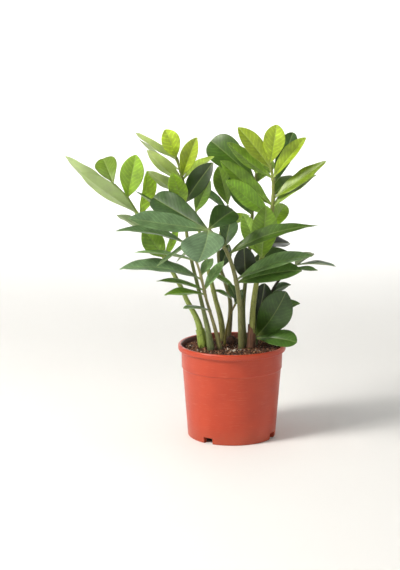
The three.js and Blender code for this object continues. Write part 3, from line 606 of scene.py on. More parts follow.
def stem_skin_material():
    """Fleshy stem skin, grown: smooth and a little waxy, streaked lengthwise, with the dark dashes
    that ring the stems of this plant."""
    material, tree = new_material("fleshy_stem_skin_grown")
    place = add(tree, "ShaderNodeAttribute", attribute_name="stem_place")
    base = add(tree, "ShaderNodeAttribute", attribute_name="stem_colour")
    long_way = add(tree, "ShaderNodeMapping", {"Vector": (place, "Vector"), "Scale": (0.9, 0.9, 0.07)})
    streak = add(tree, "ShaderNodeTexNoise", {"Vector": long_way, "Scale": 1.0, "Detail": 4.0})
    tint = add(tree, "ShaderNodeMapRange", {"Value": (streak, "Fac"), **NOISE_SPAN,
                "To Min": 0.72, "To Max": 1.25})
    streaked = add(tree, "ShaderNodeVectorMath", {0: (base, "Vector"), 1: tint}, operation="MULTIPLY")
    short_way = add(tree, "ShaderNodeMapping",
                    {"Vector": (place, "Vector"), "Scale": (0.35, 0.35, 0.22)})
    dash = add(tree, "ShaderNodeTexNoise", {"Vector": short_way, "Scale": 1.0, "Detail": 2.0})
    dash_share = add(tree, "ShaderNodeMapRange",
                     {"Value": (dash, "Fac"), "From Min": 0.56, "From Max": 0.7,
                      "To Min": 0.0, "To Max": 0.55})
    darker = add(tree, "ShaderNodeVectorMath", {0: streaked, "Scale": 0.45}, operation="SCALE")
    dashed = add(tree, "ShaderNodeMix", {"Factor": dash_share, "A": streaked, "B": darker}, **RGB)
    fine = add(tree, "ShaderNodeTexNoise", {"Vector": (place, "Vector"), "Scale": 1.6, "Detail": 3.0})
    rough = add(tree, "ShaderNodeMapRange", {"Value": (fine, "Fac"), **NOISE_SPAN,
                 "To Min": 0.38, "To Max": 0.55})
    height = add(tree, "ShaderNodeMath", {0: (streak, "Fac"), 1: (fine, "Fac")}, operation="ADD")
    relief = add(tree, "ShaderNodeBump", {"Strength": 0.4, "Distance": 0.0005, "Height": height})
    surface = add(tree, "ShaderNodeBsdfPrincipled",
                  {"Base Color": dashed, "Roughness": rough, "IOR": 1.42, "Normal": relief})
    add(tree, "ShaderNodeOutputMaterial", {"Surface": surface})
    return material


def pot_plastic_material():
    """Terracotta-coloured polypropylene, injection moulded: a soft sheen, faint flow clouds, fine
    scuffs round the wall, a little dry soil dust towards the foot and painted shade inside the rim."""
    material, tree = new_material("terracotta_polypropylene_moulded")
    space = add(tree, "ShaderNodeTexCoord")
    cloud = add(tree, "ShaderNodeTexNoise",
                {"Vector": (space, "Object"), "Scale": POT_CLOUD, "Detail": 3.0, "Roughness": 0.55})
    tint = add(tree, "ShaderNodeMapRange", {"Value": (cloud, "Fac"), **NOISE_SPAN,
                "To Min": 0.0, "To Max": 1.0})
    body = add(tree, "ShaderNodeMix", {"Factor": tint, "A": paint("#AE381B"), "B": paint("#B84021")},
               **RGB)
    along = add(tree, "ShaderNodeMapping", {"Vector": (space, "Object"), "Scale": (1.0, 1.0, SCUFF_FINER)})
    scuff = add(tree, "ShaderNodeTexNoise", {"Vector": along, "Scale": POT_SCUFF, "Detail": 5.0})
    scuff_share = add(tree, "ShaderNodeMapRange",
                      {"Value": (scuff, "Fac"), "From Min": 0.58, "From Max": 0.8,
                       "To Min": 0.0, "To Max": 0.35})
    scuffed = add(tree, "ShaderNodeMix",
                  {"Factor": scuff_share, "A": body, "B": paint("#CF7A5C")}, **RGB)
    height = add(tree, "ShaderNodeSeparateXYZ", {0: (space, "Object")})
    low = add(tree, "ShaderNodeMapRange", {"Value": (height, "Z"), "From Min": 0.0, "From Max": 0.03,
               "To Min": 0.35, "To Max": 0.0})
    speck = add(tree, "ShaderNodeTexNoise", {"Vector": (space, "Object"), "Scale": POT_SPECK, "Detail": 4.0})
    dust = add(tree, "ShaderNodeMath", {0: low, 1: (speck, "Fac")}, operation="MULTIPLY")
    dusty = add(tree, "ShaderNodeMix", {"Factor": dust, "A": scuffed, "B": paint("#8C6A52")}, **RGB)
    # Painted shade darkens the inside of the rim: it lies where the distance from the axis, less
    # a part of the height above the bead's foot, is that of the inner face.
    level = add(tree, "ShaderNodeVectorMath", {0: (space, "Object"), 1: (1.0, 1.0, 0.0)},
                operation="MULTIPLY")
    radius = add(tree, "ShaderNodeVectorMath", {0: level}, operation="LENGTH")
    above = add(tree, "ShaderNodeMath", {0: (height, "Z"), 1: 0.139}, operation="SUBTRACT")
    inward = add(tree, "ShaderNodeMath", {0: above, 1: -0.22, 2: (radius, "Value")},
                 operation="MULTIPLY_ADD")
    darkening = add(tree, "ShaderNodeMapRange", {"Value": inward, "From Min": 0.0783, "From Max": 0.0791,
                 "To Min": 0.85, "To Max": 0.0}, interpolation_type="SMOOTHSTEP")
    rim_shade_painted = add(tree, "ShaderNodeMix", {"Factor": darkening, "A": dusty, "B": paint("#3B1A12")}, **RGB)
    rough = add(tree, "ShaderNodeMapRange", {"Value": (speck, "Fac"), **NOISE_SPAN,
                 "To Min": 0.3, "To Max": 0.4})
    relief = add(tree, "ShaderNodeBump",
                 {"Strength": 0.12, "Distance": 0.0003, "Height": (speck, "Fac")})
    surface = add(tree, "ShaderNodeBsdfPrincipled",
                  {"Base Color": rim_shade_painted, "Roughness": rough, "IOR": 1.49, "Normal": relief})
    add(tree, "ShaderNodeOutputMaterial", {"Surface": surface})
    return material


def potting_soil_material():
    """Peat and bark potting soil, loose: dead matt red-brown crumbs that darken to near black at their edges,
    a painted shade in the gaps between them.
    """
    material, tree = new_material("peat_potting_soil_loose")
    space = add(tree, "ShaderNodeTexCoord")
    crumb = add(tree, "ShaderNodeTexVoronoi", {"Vector": (space, "Object"), "Scale": SOIL_CRUMB})
    # Painted shade: each crumb goes from red-brown at its middle to near black at its edge, where the gaps
    # between crumbs lie.
    dark = add(tree, "ShaderNodeMix",
               {"Factor": (crumb, "Distance"), "A": paint("#5A3A2A"), "B": paint("#1C100B")}, **RGB)
    patch = add(tree, "ShaderNodeTexNoise", {"Vector": (space, "Object"), "Scale": SOIL_PATCH, "Detail": 5.0})
    share = add(tree, "ShaderNodeMapRange", {"Value": (patch, "Fac"), "From Min": 0.45, "From Max": 0.7,
                 "To Min": 0.0, "To Max": 0.7})
    colour = add(tree, "ShaderNodeMix", {"Factor": share, "A": dark, "B": paint("#6A402D")}, **RGB)
    relief = add(tree, "ShaderNodeBump",
                 {"Strength": 1.0, "Distance": 0.002, "Height": (crumb, "Distance")})
    surface = add(tree, "ShaderNodeBsdfPrincipled",
                  {"Base Color": colour, "Roughness": 0.95, "Normal": relief})
    add(tree, "ShaderNodeOutputMaterial", {"Surface": surface})
    return material


def grain_material(name, colours, rough):
    """Loose grains, each its own shade between two colours, with a finer mottle on top."""
    material, tree = new_material(name)
    shade = add(tree, "ShaderNodeSeparateXYZ",
                {0: (add(tree, "ShaderNodeAttribute", attribute_name="grain_look"), "Vector")})
    space = add(tree, "ShaderNodeTexCoord")
    fleck = add(tree, "ShaderNodeTexNoise", {"Vector": (space, "Object"), "Scale": GRAIN_FLECK})
    mixed = add(tree, "ShaderNodeMix",
                {"Factor": (shade, "X"), "A": paint(colours[0]), "B": paint(colours[1])}, **RGB)
    tint = add(tree, "ShaderNodeMapRange", {"Value": (fleck, "Fac"), **NOISE_SPAN,
                "To Min": 0.75, "To Max": 1.2})
    colour = add(tree, "ShaderNodeVectorMath", {0: mixed, 1: tint}, operation="MULTIPLY")
    surface = add(tree, "ShaderNodeBsdfPrincipled", {"Base Color": colour, "Roughness": rough})
    add(tree, "ShaderNodeOutputMaterial", {"Surface": surface})
    return material


def tuber_bark_material():
    """Corky tuber skin, grown: dark brown, ringed by old leaf scars, rough and matt."""
    material, tree = new_material("corky_tuber_skin_grown")
    space = add(tree, "ShaderNodeTexCoord")
    patch = add(tree, "ShaderNodeTexNoise", {"Vector": (space, "Object"), "Scale": TUBER_SCAR, "Detail": 5.0})
    share = add(tree, "ShaderNodeMapRange",
                {"Value": (patch, "Fac"), "From Min": 0.35, "From Max": 0.68,
                 "To Min": 0.0, "To Max": 1.0})
    colour = add(tree, "ShaderNodeMix", {"Factor": share, "A": paint("#1E120D"), "B": paint("#5A3A2A")},
                 **RGB)
    relief = add(tree, "ShaderNodeBump", {"Strength": 0.8, "Distance": 0.001, "Height": (patch, "Fac")})
    surface = add(tree, "ShaderNodeBsdfPrincipled",
                  {"Base Color": colour, "Roughness": 0.85, "Normal": relief})
    add(tree, "ShaderNodeOutputMaterial", {"Surface": surface})
    return material


def dry_sheath_material():
    """Papery bud scale, dried on the plant: brown, ribbed lengthwise by its fibres, nearly matt."""
    material, tree = new_material("papery_bud_scale_dried")
    place = add(tree, "ShaderNodeAttribute", attribute_name="stem_place")
    long_way = add(tree, "ShaderNodeMapping", {"Vector": (place, "Vector"), "Scale": (1.2, 1.2, 0.06)})
    fibre = add(tree, "ShaderNodeTexNoise", {"Vector": long_way, "Scale": 1.0, "Detail": 5.0})
    share = add(tree, "ShaderNodeMapRange", {"Value": (fibre, "Fac"), **NOISE_SPAN,
                 "To Min": 0.0, "To Max": 1.0})
    colour = add(tree, "ShaderNodeMix", {"Factor": share, "A": paint("#3A2318"), "B": paint("#7A5238")},
                 **RGB)
    relief = add(tree, "ShaderNodeBump",
                 {"Strength": 0.6, "Distance": 0.0006, "Height": (fibre, "Fac")})
    surface = add(tree, "ShaderNodeBsdfPrincipled",
                  {"Base Color": colour, "Roughness": 0.7, "Normal": relief})
    add(tree, "ShaderNodeOutputMaterial", {"Surface": surface})
    return material


def studio_paper_material():
    """Seamless studio paper, calendered: near white and dead matt, with a barely seen tooth."""
    material, tree = new_material("seamless_studio_paper_calendered")
    space = add(tree, "ShaderNodeTexCoord")
    tooth = add(tree, "ShaderNodeTexNoise", {"Vector": (space, "Object"), "Scale": PAPER_TOOTH})
    colour = add(tree, "ShaderNodeMix",
                 {"Factor": (tooth, "Fac"), "A": paint("#F7F7F6"), "B": paint("#FAFAF9")}, **RGB)
    surface = add(tree, "ShaderNodeBsdfPrincipled", {"Base Color": colour, "Roughness": 0.9})
    add(tree, "ShaderNodeOutputMaterial", {"Surface": surface})
    return material


# ---- leaflets ----
def leaf_axes(reach, facing, turn):
    """The leaflet's length, side and upper-side directions. The upper side is the stated direction,
    made square to the length, and the side is the cross product of the other two."""
    a, b = math.radians(facing), math.radians(turn)
    chord = unit(reach)
    look = np.array([math.sin(a) * math.sin(b), -math.sin(a) * math.cos(b), math.cos(a)])
    normal = unit(look - chord * np.dot(look, chord))
    return chord, np.cross(chord, normal), normal


def half_width(v, width, tip_power):
    """Half the blade's width at v: v^base times (1-v)^tip, scaled to half the width at its widest."""
    widest = BASE_POWER / (BASE_POWER + tip_power)
    peak = widest**BASE_POWER * (1 - widest) ** tip_power
    return 0.5 * width * v**BASE_POWER * (1 - v) ** tip_power / peak


def leaflet_mesh(name, frond, row, finish, rng):
    """A leaflet as rings along its length. A ring goes over the upper side from margin to margin and
    back under the lower one. Its points lie at a share of the half width to either side, lifted by
    the fold, by a slight bulge of each half and by a slow wave of the margin, and stand off the
    middle surface by half the thickness, which thins from midrib to margin. The midrib is a groove
    above and a ridge below."""
    at, reach, width, facing, turn, arch, sweep, fold, tip_power = row
    age, bloom_and_sheen, light = finish
    reach = np.array(reach, float)
    length = np.linalg.norm(reach)
    chord, side, normal = leaf_axes(reach, facing, turn)
    foot = curve_points(frond["path"], at)[0]
    start = 0.4 * stem_radius(frond, at) / length
    steps = 0.5 * (1 - np.cos(np.pi * np.linspace(0, 1, BLADE_ROWS)))
    v = (start + (0.9995 - start) * steps)[:, None]

    half = half_width(v, width, tip_power)
    petiole = PETIOLE_RADIUS * (1 - smooth_step(0.1, 1.0, v)) + PETIOLE_TIP
    half = np.sqrt(half**2 + petiole**2)
    blade = smooth_step(1.2, 3.0, half / PETIOLE_RADIUS)

    # Shares of the half width, over the top from left to right and back underneath.
    over = np.concatenate([-BLADE_ACROSS[:0:-1], BLADE_ACROSS])
    share = np.concatenate([over, over[-2:0:-1]])[None, :]
    top = np.concatenate([np.ones(len(over)), -np.ones(len(over) - 2)])[None, :]
    across = share * half
    outer = np.abs(share)

    twist = np.radians(rng.uniform(-7, 7)) * (v - 0.5)
    bulge = rng.uniform(0.05, 0.12)
    buckle = 0.5 * noise(np.stack([v * length + 0 * across, across + 0 * v,
                                   rng.uniform(0, 900) + 0 * across], -1), 13.0, 9)
    wave = rng.uniform(0.3, 0.9) * np.sin(2 * np.pi * v * length / rng.uniform(30, 50)
                                         + rng.uniform(0, 2 * np.pi) + np.pi * (share > 0))
    lift = np.abs(across) * math.sin(math.radians(fold)) + bulge * half * outer * (1 - outer)
    lift = blade * (lift + wave * outer**2 + buckle * np.sqrt(outer))
    spread = across * (1 - blade * (1 - math.cos(math.radians(fold))))

    round_half = np.sqrt(np.clip(1 - share**2, 0, 1)) * petiole
    thin = 0.5 * (MARGIN_THICKNESS + (BLADE_THICKNESS - MARGIN_THICKNESS) * (1 - outer) ** 0.7)
    thin = thin * np.clip((1 - outer) / 0.06, 0, 1) * (1 - 0.45 * v)
    stand_off = np.where(blade > 0, blade * thin + (1 - blade) * round_half, round_half) * top
    near_rib = np.exp(-(across / RIB_WIDTH) ** 2) * blade * (1 - smooth_step(0.6, 1.0, v))
    stand_off = stand_off - near_rib * np.where(top > 0, GROOVE_DEPTH, RIB_HEIGHT)

    bend = 4 * v * (1 - v)
    along = foot + reach * v + normal * (arch * bend) + side * (sweep * bend)
    outward = (lift + stand_off)[..., None]
    turned_side = side * np.cos(twist)[..., None] + normal * np.sin(twist)[..., None]
    turned_up = normal * np.cos(twist)[..., None] - side * np.sin(twist)[..., None]
    grid = along[:, None, :] + turned_side * spread[..., None] + turned_up * outward

    ones = np.ones_like(across)
    place = np.stack([v * length * ones, across, (1 - outer) * half], -1)
    under = np.where((top < 0) & (outer < 0.99), 1.0, 0.0) * ones
    look = np.stack([age * ones, bloom_and_sheen * ones, under], -1)
    green = ramp(LEAF_AGES, age + rng.uniform(-0.08, 0.08))
    # Bloom greys the green: partly pale wax, partly a painted sheen.
    green = green * (1 - 0.5 * bloom_and_sheen) + np.array(paint(BLOOM_AND_SHEEN)[:3]) * 0.5 * bloom_and_sheen
    # The light number paints light and shade into the green: above 1 it brightens a leaflet as if lit, below
    # 1 it darkens one as if in shade.
    green = green * light
    # The petiole and the foot of the blade are paler.
    pale = (0.5 * (1 - smooth_step(0.03, 0.2, v)) * ones)[..., None]
    green = green * (1 - pale) + np.array(paint(PETIOLE_GREEN)[:3]) * pale
    return skin(name, grid, {"blade_place": place, "blade_look": look, "blade_green": green})


# ---- stems ----
def stem_frame(path, t):
    """Centre, tangent and two square directions on the stem's curve at t. The first square direction
    is +X less its part along the tangent."""
    step = 1e-3
    centre = curve_points(path, t)
    along = unit(curve_points(path, np.minimum(t + step, 1)) - curve_points(path, np.maximum(t - step, 0)))
    side = np.array([1.0, 0.0, 0.0]) - along * along[:, :1]
    side = unit(side)
    return centre, along, side, np.cross(along, side)


def stem_mesh(name, frond, finish):
    """A tapering tube along the stem's curve. Its radius swells at the soil, and in a low ring below
    each leaflet, has a slow unevenness, and closes to a blunt end."""
    path = frond["path"]
    t = np.linspace(0, 1, STEM_ROWS)
    centre, along, side, other = stem_frame(path, t)
    length = np.concatenate([[0], np.cumsum(np.linalg.norm(np.diff(centre, axis=0), axis=1))])
    radius = stem_radius(frond, t)
    for row in frond["leaflets"] + frond["small"]:
        here = np.interp(row[0], t, length)
        radius = radius + NODE_SWELLING * np.exp(-((length - here + NODE_DROP) / NODE_REACH) ** 2)
    ends = np.clip((length[-1] - length) / radius, 0, 1)
    radius = radius * np.sqrt(1 - (1 - ends) ** 2) + 0.02
    turn = np.linspace(0, 2 * np.pi, STEM_AROUND, endpoint=False)
    flat = np.stack([np.cos(turn), np.sin(turn)], -1)
    place = np.concatenate([radius[:, None, None] * flat[None],
                            np.broadcast_to(length[:, None, None], (STEM_ROWS, STEM_AROUND, 1))], -1)
    uneven = 1 + 0.04 * noise(place * [1, 1, 0.3] + 50, 6.0, 3)
    grid = (centre[:, None] + side[:, None] * (place[..., :1] * uneven[..., None])
            + other[:, None] * (place[..., 1:2] * uneven[..., None]))
    # The stem's colours hold painted shade as well as its own green; stem i's near black is painted shade.
    colour = ramp(finish["stem"], np.sqrt(t))
    # Each stem is darker for a few millimetres above the soil.
    darkening = 0.35 + 0.65 * smooth_step(SOIL_LEVEL, SOIL_LEVEL + FOOT_DARKENING_RISE, centre[:, 2:])
    colour = np.broadcast_to((colour * darkening)[:, None], grid.shape)
    return skin(name, grid, {"stem_place": place, "stem_colour": colour})


def sheath_mesh(name, stem, node, upper, lower):
    """A scale round a stem's foot: two tubes, one inside the other, joined at both ends. Round the
    stem, its upper edge follows one curve of shares of its height and its lower edge another."""
    frond = FRONDS[stem]
    low, high = [corner[2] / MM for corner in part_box(node)]
    t_all = np.linspace(0, 0.3, 200)
    heights = curve_points(frond["path"], t_all)[:, 2]
    t_low, t_high = np.interp([low, high], heights, t_all)
    around = 64
    turn = np.linspace(0, 2 * np.pi, around, endpoint=False)
    top = upper(turn)
    base = lower(turn)
    climb = np.linspace(0, 1, 20)[:, None]
    rise = base + (top - base) * climb
    shape = rise.shape
    t = t_low + (t_high - t_low) * rise
    centre, along, side, other = stem_frame(frond["path"], t.ravel())
    inner = stem_radius(frond, t) * 1.04 + 0.25
    flare = 0.5 * climb**4
    grids = []
    places = []
    for wall in (SHEATH_WALL, 0.0):
        radius = inner + flare + wall + 0.15 * np.sin(9 * turn)[None, :]
        grids.append(centre.reshape(*shape, 3)
                     + side.reshape(*shape, 3) * (radius * np.cos(turn))[..., None]
                     + other.reshape(*shape, 3) * (radius * np.sin(turn))[..., None])
        places.append(np.stack([radius * np.cos(turn), radius * np.sin(turn),
                                rise * (high - low)], -1))
    grid = np.concatenate([grids[0], grids[1][::-1]])
    place = np.concatenate([places[0], places[1][::-1]])
    colour = ramp(FINISH[stem]["stem"], np.sqrt(np.concatenate([t, t[::-1]])))
    return skin(name, grid, {"stem_place": place, "stem_colour": colour}, looped=True)


def slanting_edge(turn):
    """High on the left, low on the right, with small tears."""
    slope = 0.5 + 0.5 * np.cos(turn - np.radians(205))
    return 0.46 + 0.50 * slope**1.5 + 0.04 * np.sin(7 * turn) + 0.02 * np.sin(13 * turn + 1)


def torn_edge(turn):
    """Pointed teeth along the lower edge."""
    return 0.20 - 0.20 * np.abs(np.sin(3.5 * turn + 0.4)) + 0.03 * np.sin(11 * turn)


# ---- pot ----
def wall_radius(height):
    """Outside radius of the wall at a height, which leans evenly up to the shoulder and less above it."""
    if height <= SHOULDER_HEIGHT:
        top = WALL_TOP_RADIUS - SHOULDER_STEP - BAND_LEAN
        return BASE_RADIUS + (top - BASE_RADIUS) * height / SHOULDER_HEIGHT
    share = (height - SHOULDER_HEIGHT) / (POT_HEIGHT - SHOULDER_HEIGHT)
    return WALL_TOP_RADIUS - BAND_LEAN + BAND_LEAN * share


def rounded(outline, radii, steps=5):
    """An outline whose corners are cut by arcs. A corner of radius r starts and ends r from it along
    its two edges, and a quadratic curve with the corner as its middle control joins the two."""
    points = [np.array(p, float) for p in outline]
    result = [points[0]]
    for before, corner, after, radius in zip(points, points[1:], points[2:], radii):
        if radius == 0:
            result.append(corner)
            continue
        a = corner + unit(before - corner) * min(radius, 0.45 * np.linalg.norm(before - corner))
        b = corner + unit(after - corner) * min(radius, 0.45 * np.linalg.norm(after - corner))
        for t in np.linspace(0, 1, steps):
            result.append((1 - t) ** 2 * a + 2 * t * (1 - t) * corner + t**2 * b)
    result.append(points[-1])
    return np.array(result)


def lathe_mesh(name, outline, around):
    """The outline of radius and height, turned about the Z axis."""
    turn = np.linspace(0, 2 * np.pi, around, endpoint=False)
    radius = outline[:, :1]
    grid = np.stack([radius * np.cos(turn), radius * np.sin(turn),
                     np.broadcast_to(outline[:, 1:], (len(outline), around))], -1)
    return skin(name, grid)


def block_mesh(name, centre, size, angle):
    """A box with upright edges, turned about the Z axis: the eight corners of its half sizes."""
    corners = np.array(list(itertools.product((-0.5, 0.5), repeat=3))) * size + centre
    c, s = math.cos(angle), math.sin(angle)
    turned = corners @ np.array([[c, s, 0], [-s, c, 0], [0, 0, 1]])
    quads = np.array([[0, 1, 3, 2], [4, 6, 7, 5], [0, 4, 5, 1], [2, 3, 7, 6], [0, 2, 6, 4], [1, 5, 7, 3]])
    return mesh_from(name, turned, quads, np.empty((0, 3), int), {})


def pot_mesh():
    """The pot's section turned about its axis, less a square notch through the foot at each drain."""
    under = wall_radius(BEAD_FOOT)
    mid_wall = np.linspace(0, 1, 8)[1:-1]
    outline = [(0.01, 0), (FOOT_PAD_RADIUS, 0), (FOOT_PAD_RADIUS + 2, RECESS),
               (BASE_RADIUS - RING_WIDTH, RECESS), (BASE_RADIUS - RING_WIDTH, 0), (BASE_RADIUS, 0)]
    radii = [0.6, 1.0, 0.8, 0.8, 2.2]
    for share in mid_wall:
        outline.append((wall_radius(share * SHOULDER_HEIGHT), share * SHOULDER_HEIGHT))
        radii.append(0)
    outline += [(wall_radius(SHOULDER_HEIGHT), SHOULDER_HEIGHT),
                (wall_radius(SHOULDER_HEIGHT) + SHOULDER_STEP, SHOULDER_HEIGHT + SHOULDER_STEP),
                (under, BEAD_FOOT), (RIM_RADIUS, BEAD_FOOT - 0.3), (RIM_RADIUS, POT_HEIGHT),
                (RIM_RADIUS - RIM_WIDTH, POT_HEIGHT), (under - WALL, BEAD_FOOT + 1),
                (wall_radius(60) - WALL, 60), (wall_radius(FLOOR_TOP) - WALL, FLOOR_TOP),
                (0.01, FLOOR_TOP)]
    radii += [1.6, 1.2, 1.8, 3.2, 4.6, 3.0, 3.0, 0, 3.0, 0]
    pot = bpy.data.objects.new("pot_blank", lathe_mesh("pot_blank", rounded(outline, radii, 8), POT_AROUND))
    bpy.context.collection.objects.link(pot)
    cutters = []
    for angle in DRAIN_ANGLES:
        size = np.array([DRAIN_WIDTH, NOTCH_DEPTH, 2 * DRAIN_HEIGHT])
        cutter = bpy.data.objects.new("drain_cutter", block_mesh(
            "drain_cutter", np.array([0, 3 - BASE_RADIUS, 0]), size, math.radians(angle)))
        bpy.context.collection.objects.link(cutter)
        cut = pot.modifiers.new("drain", "BOOLEAN")
        cut.operation = "DIFFERENCE"
        cut.solver = "EXACT"
        cut.object = cutter
        cutters.append(cutter)
    graph = bpy.context.evaluated_depsgraph_get()
    mesh = bpy.data.meshes.new_from_object(pot.evaluated_get(graph))
    mesh.name = "pot_wall"
    for spent in [pot, *cutters]:
        bpy.data.objects.remove(spent)
    mesh.set_sharp_from_angle(angle=math.radians(SHARP_EDGE))
    return mesh


# ---- soil, crown and loose grains ----
def soil_height(x, y):
    """Level of the soil: almost flat, sunk a little at the wall, with slow heaps and small crumbs."""
    spots = np.stack([x, y, np.zeros_like(x)], -1)
    r = np.hypot(x, y)
    rough = 1.0 * noise(spots + 300, 19.0, 5) + 0.8 * noise(spots + 300, 6.0, 6)
    rough = rough + 0.6 * noise(spots + 300, 2.6, 7)
    return SOIL_LEVEL - 1.2 - 1.6 * smooth_step(40, 76, r) + rough


def soil_mesh():
    """A disc of rings whose height is the soil's level, with a wall and a flat underside."""
    around = 220
    edge = wall_radius(SOIL_LEVEL) - WALL - 0.4
    turn = np.linspace(0, 2 * np.pi, around, endpoint=False)
    radius = np.linspace(0.5, edge, 66)[:, None]
    x = radius * np.cos(turn)
    y = radius * np.sin(turn)
    top = np.stack([x, y, soil_height(x, y)], -1)
    wall = [(wall_radius(z) - WALL - 0.5, z) for z in (120.0, 80.0, 40.0, 12.0)]
    wall += [(wall_radius(FLOOR_TOP) - WALL - 3, FLOOR_TOP + 0.4), (20.0, FLOOR_TOP + 0.4)]
    below = np.array([np.stack([r * np.cos(turn), r * np.sin(turn), np.full(around, z)], -1)
                      for r, z in wall])
    return skin("soil_body", np.concatenate([top, below]))


def crown_mesh():
    """The top of the tuber: an ellipsoid of rings, rippled by scar rings and pitted at random."""
    centre = 0.5 * (crown_low + crown_high)
    radii = 0.5 * (crown_high - crown_low)
    tilt = np.linspace(0.02, np.pi - 0.02, 40)[:, None]
    turn = np.linspace(0, 2 * np.pi, 60, endpoint=False)[None, :]
    ball = np.stack([np.sin(tilt) * np.cos(turn), np.sin(tilt) * np.sin(turn),
                     np.cos(tilt) * np.ones_like(turn)], -1)
    swell = 0.97 + 0.03 * np.sin(22 * tilt) * np.sin(tilt) + 0.09 * noise(ball * 10 + 40, 3.0, 11)
    return skin("crown_lump", centre + ball * radii * np.minimum(swell, 1.04)[..., None])


def grains_mesh(name, spots, sizes, rng):
    """Many small lumps in one mesh. Each is a six-sided bead of three rings, stretched by its own
    three half sizes, turned by a random rotation and set at its spot."""
    tilt = np.array([0.25, 0.5, 0.75])[:, None] * np.pi
    turn = np.linspace(0, 2 * np.pi, 6, endpoint=False)[None, :]
    rings = np.stack([np.sin(tilt) * np.cos(turn), np.sin(tilt) * np.sin(turn),
                      np.cos(tilt) * np.ones_like(turn)], -1)
    quads, fans = rings_to_faces(3, 6, False)
    bead = np.vstack([rings.reshape(-1, 3), [0, 0, 1], [0, 0, -1]])
    count = len(spots)
    frames, _ = np.linalg.qr(rng.normal(size=(count, 3, 3)))
    frames[:, :, 0] *= np.sign(np.linalg.det(frames))[:, None]
    jag = 1 + 0.25 * rng.uniform(-1, 1, size=(count, len(bead), 1))
    local = bead[None] * jag * sizes[:, None, :]
    points = np.einsum("nij,nkj->nki", frames, local) + spots[:, None, :]
    shift = (np.arange(count) * len(bead))[:, None, None]
    shade = np.repeat(rng.uniform(0, 1, count), len(bead))
    look = np.stack([shade, shade, shade], -1)
    return mesh_from(name, points.reshape(-1, 3), (quads[None] + shift).reshape(-1, 4),
                     (fans[None] + shift).reshape(-1, 3), {"grain_look": look})


def scatter(count, rng, centre=(0.0, 0.0), reach=GRAIN_REACH):
    """Random spots on the soil, evenly spread over a disc: its radius times the root of a random share."""
    r = reach * np.sqrt(rng.uniform(0, 1, count))
    a = rng.uniform(0, 2 * np.pi, count)
    x = centre[0] + r * np.cos(a)
    y = centre[1] + r * np.sin(a)
    return np.stack([x, y, soil_height(x, y)], -1)


# ---- building ----
rng = np.random.default_rng(17)

leaf_blade = leaf_blade_material()
stem_skin = stem_skin_material()
for letter, frond in FRONDS.items():
    finish = FINISH[letter]
    name = f"frond_{letter}_stem"
    piece(name, stem_mesh(name, frond, finish), stem_skin, "stem_skin", f"stem_{letter}")
    for group in ("leaflets", "small"):
        for number, (row, look) in enumerate(zip(frond[group], finish[group]), 1):
            kind = "leaflet" if group == "leaflets" else "small_leaflet"
            name = f"frond_{letter}_{kind}_{number}"
            mesh = leaflet_mesh(name, frond, row, look, rng)
            nodes = [f"leaflet_{letter}_{number}"] if group == "leaflets" else []
            piece(name, mesh, leaf_blade, "leaf_blade", *nodes)

piece("nursery_pot", pot_mesh(), pot_plastic_material(), "pot_plastic", "pot")
piece("soil_bed", soil_mesh(), potting_soil_material(), "potting_soil", "soil")
piece("tuber_crown", crown_mesh(), tuber_bark_material(), "tuber_bark", "crown")
dry_scale = sheath_mesh("bud_scale_e", "e", "sheath_e", slanting_edge, np.zeros_like)
green_scale = sheath_mesh("bud_scale_a", "a", "sheath_a", np.ones_like, torn_edge)
piece("bud_scale_e", dry_scale, dry_sheath_material(), "dry_sheath", "sheath_e")
piece("bud_scale_a", green_scale, stem_skin, "stem_skin", "sheath_a")

peat = grain_material("peat_crumbs_loose", ("#180D09", "#633D28"), 0.95)
bark = grain_material("pine_bark_chips_shredded", ("#472719", "#A47453"), 0.8)
perlite = grain_material("perlite_and_dry_fibre_loose", ("#B39F86", "#F2ECE0"), 0.85)
crumbs = grains_mesh("peat_crumbs", scatter(PEAT_CRUMBS, rng),
                     rng.uniform(0.8, 2.6, (PEAT_CRUMBS, 3)), rng)
chips = grains_mesh("bark_chips", scatter(BARK_CHIPS, rng),
                    rng.uniform(0.6, 1.1, (BARK_CHIPS, 3)) * [4.2, 1.7, 0.8], rng)
light_spots = np.vstack([scatter(LIGHT_GRAINS, rng),
                         scatter(LIGHT_HEAP, rng, LIGHT_HEAP_AT, LIGHT_HEAP_REACH)])
lights = grains_mesh("perlite_grains", light_spots,
                     rng.uniform(0.5, 1.3, (len(light_spots), 3)) * [2.6, 1.0, 0.8], rng)
piece("peat_crumbs", crumbs, peat, "potting_soil")
piece("bark_chips", chips, bark, "potting_soil")
piece("perlite_grains", lights, perlite, "potting_soil")


# ---- studio ----
def sweep_mesh():
    """The studio paper: a flat round floor, a quarter circle all round it, then an upright wall."""
    bend_at = 2500.0
    bend = 900.0
    wall_top = 3800.0
    sides = 96
    rise_turn = np.linspace(0, np.pi / 2, 24)
    reach = np.concatenate([[600.0, 1500.0], bend_at + bend * np.sin(rise_turn), [bend_at + bend]])
    rise = np.concatenate([[0.0, 0.0], bend * (1 - np.cos(rise_turn)), [wall_top]])
    around = np.linspace(0, 2 * np.pi, sides, endpoint=False)
    grid = np.stack([reach[:, None] * np.cos(around), reach[:, None] * np.sin(around),
                     np.broadcast_to(rise[:, None], (len(reach), sides))], -1)
    points = np.concatenate([grid.reshape(-1, 3), [[0.0, 0.0, 0.0]]])
    here = np.arange(sides)
    after = (here + 1) % sides
    rows = np.arange(len(reach) - 1)[:, None] * sides
    quads = np.stack([rows + here, rows + after, rows + sides + after, rows + sides + here], -1)
    quads = quads.reshape(-1, 4)[:, ::-1]
    middle = np.stack([np.full(sides, len(points) - 1), here, after], -1)
    mesh = bpy.data.meshes.new("studio_sweep")
    mesh.from_pydata((points * MM).tolist(), [], quads.tolist() + middle.tolist())
    mesh.polygons.foreach_set("use_smooth", np.ones(len(quads) + sides, bool))
    return mesh


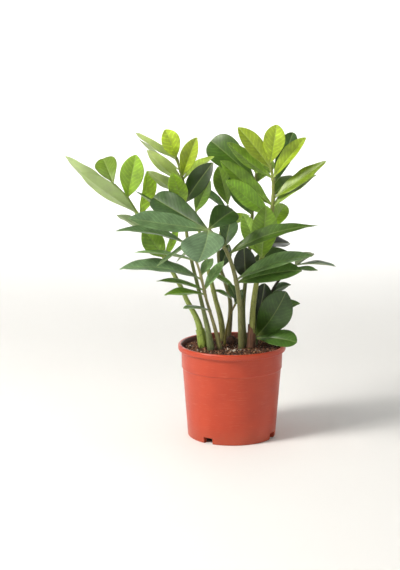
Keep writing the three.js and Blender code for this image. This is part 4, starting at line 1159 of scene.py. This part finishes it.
floor = bpy.data.objects.new("studio_sweep", sweep_mesh())
bpy.context.collection.objects.link(floor)
floor.data.materials.append(studio_paper_material())
BACK_WASH_WATTS = 36.0
SIDE_WASH_WATTS = 3.5


def soft_light(name, place, target, size, watts, colour, spread=180.0):
    """A square soft box that looks from its place at a target, with a grid that limits its spread."""
    data = bpy.data.lights.new(name, "AREA")
    data.size = size
    data.energy = watts
    data.color = paint(colour)[:3]
    data.spread = math.radians(spread)
    light = bpy.data.objects.new(name, data)
    bpy.context.collection.objects.link(light)
    light.location = place
    aim = np.array(target) - np.array(place)
    light.rotation_euler = (math.acos(-aim[2] / np.linalg.norm(aim)), 0.0,
                            math.atan2(aim[1], aim[0]) - math.pi / 2)
    return light


soft_light("key_left", (-1.84, -1.08, 1.8), (0, 0, 0.25), 0.8, 74.0, "#FFFBF4")
soft_light("top_box", (-0.2, -0.2, 2.1), (0, 0, 0.2), 1.0, 4.0, "#F6F9FF")
for side, east, north, watts in (("back", 0, 1, BACK_WASH_WATTS), ("left", -1, 0, SIDE_WASH_WATTS),
                                 ("right", 1, 0, SIDE_WASH_WATTS), ("front", 0, -1, SIDE_WASH_WATTS)):
    soft_light("wall_wash_" + side, (1.5 * east, 1.5 * north, 2.9), (3.4 * east, 3.4 * north, 0.9),
               2.2, watts, "#FFFFFF", 100.0)
world = bpy.data.worlds.new("studio_air")
world.use_nodes = True
world.node_tree.nodes["Background"].inputs["Color"].default_value = (1.0, 1.0, 1.0, 1.0)
world.node_tree.nodes["Background"].inputs["Strength"].default_value = 0.02
bpy.context.scene.world = world
bpy.context.scene.view_settings.view_transform = "Standard"

camera_data = bpy.data.cameras.new("camera")
camera_data.lens = 96.8
camera_data.sensor_width = 36.0
camera_data.clip_end = 50.0
camera = bpy.data.objects.new("camera", camera_data)
bpy.context.collection.objects.link(camera)
camera.location = (-0.0504, -2.363, 0.688)
camera.rotation_euler = (math.radians(90 - 10.7), 0.0, 0.0)
bpy.context.scene.camera = camera
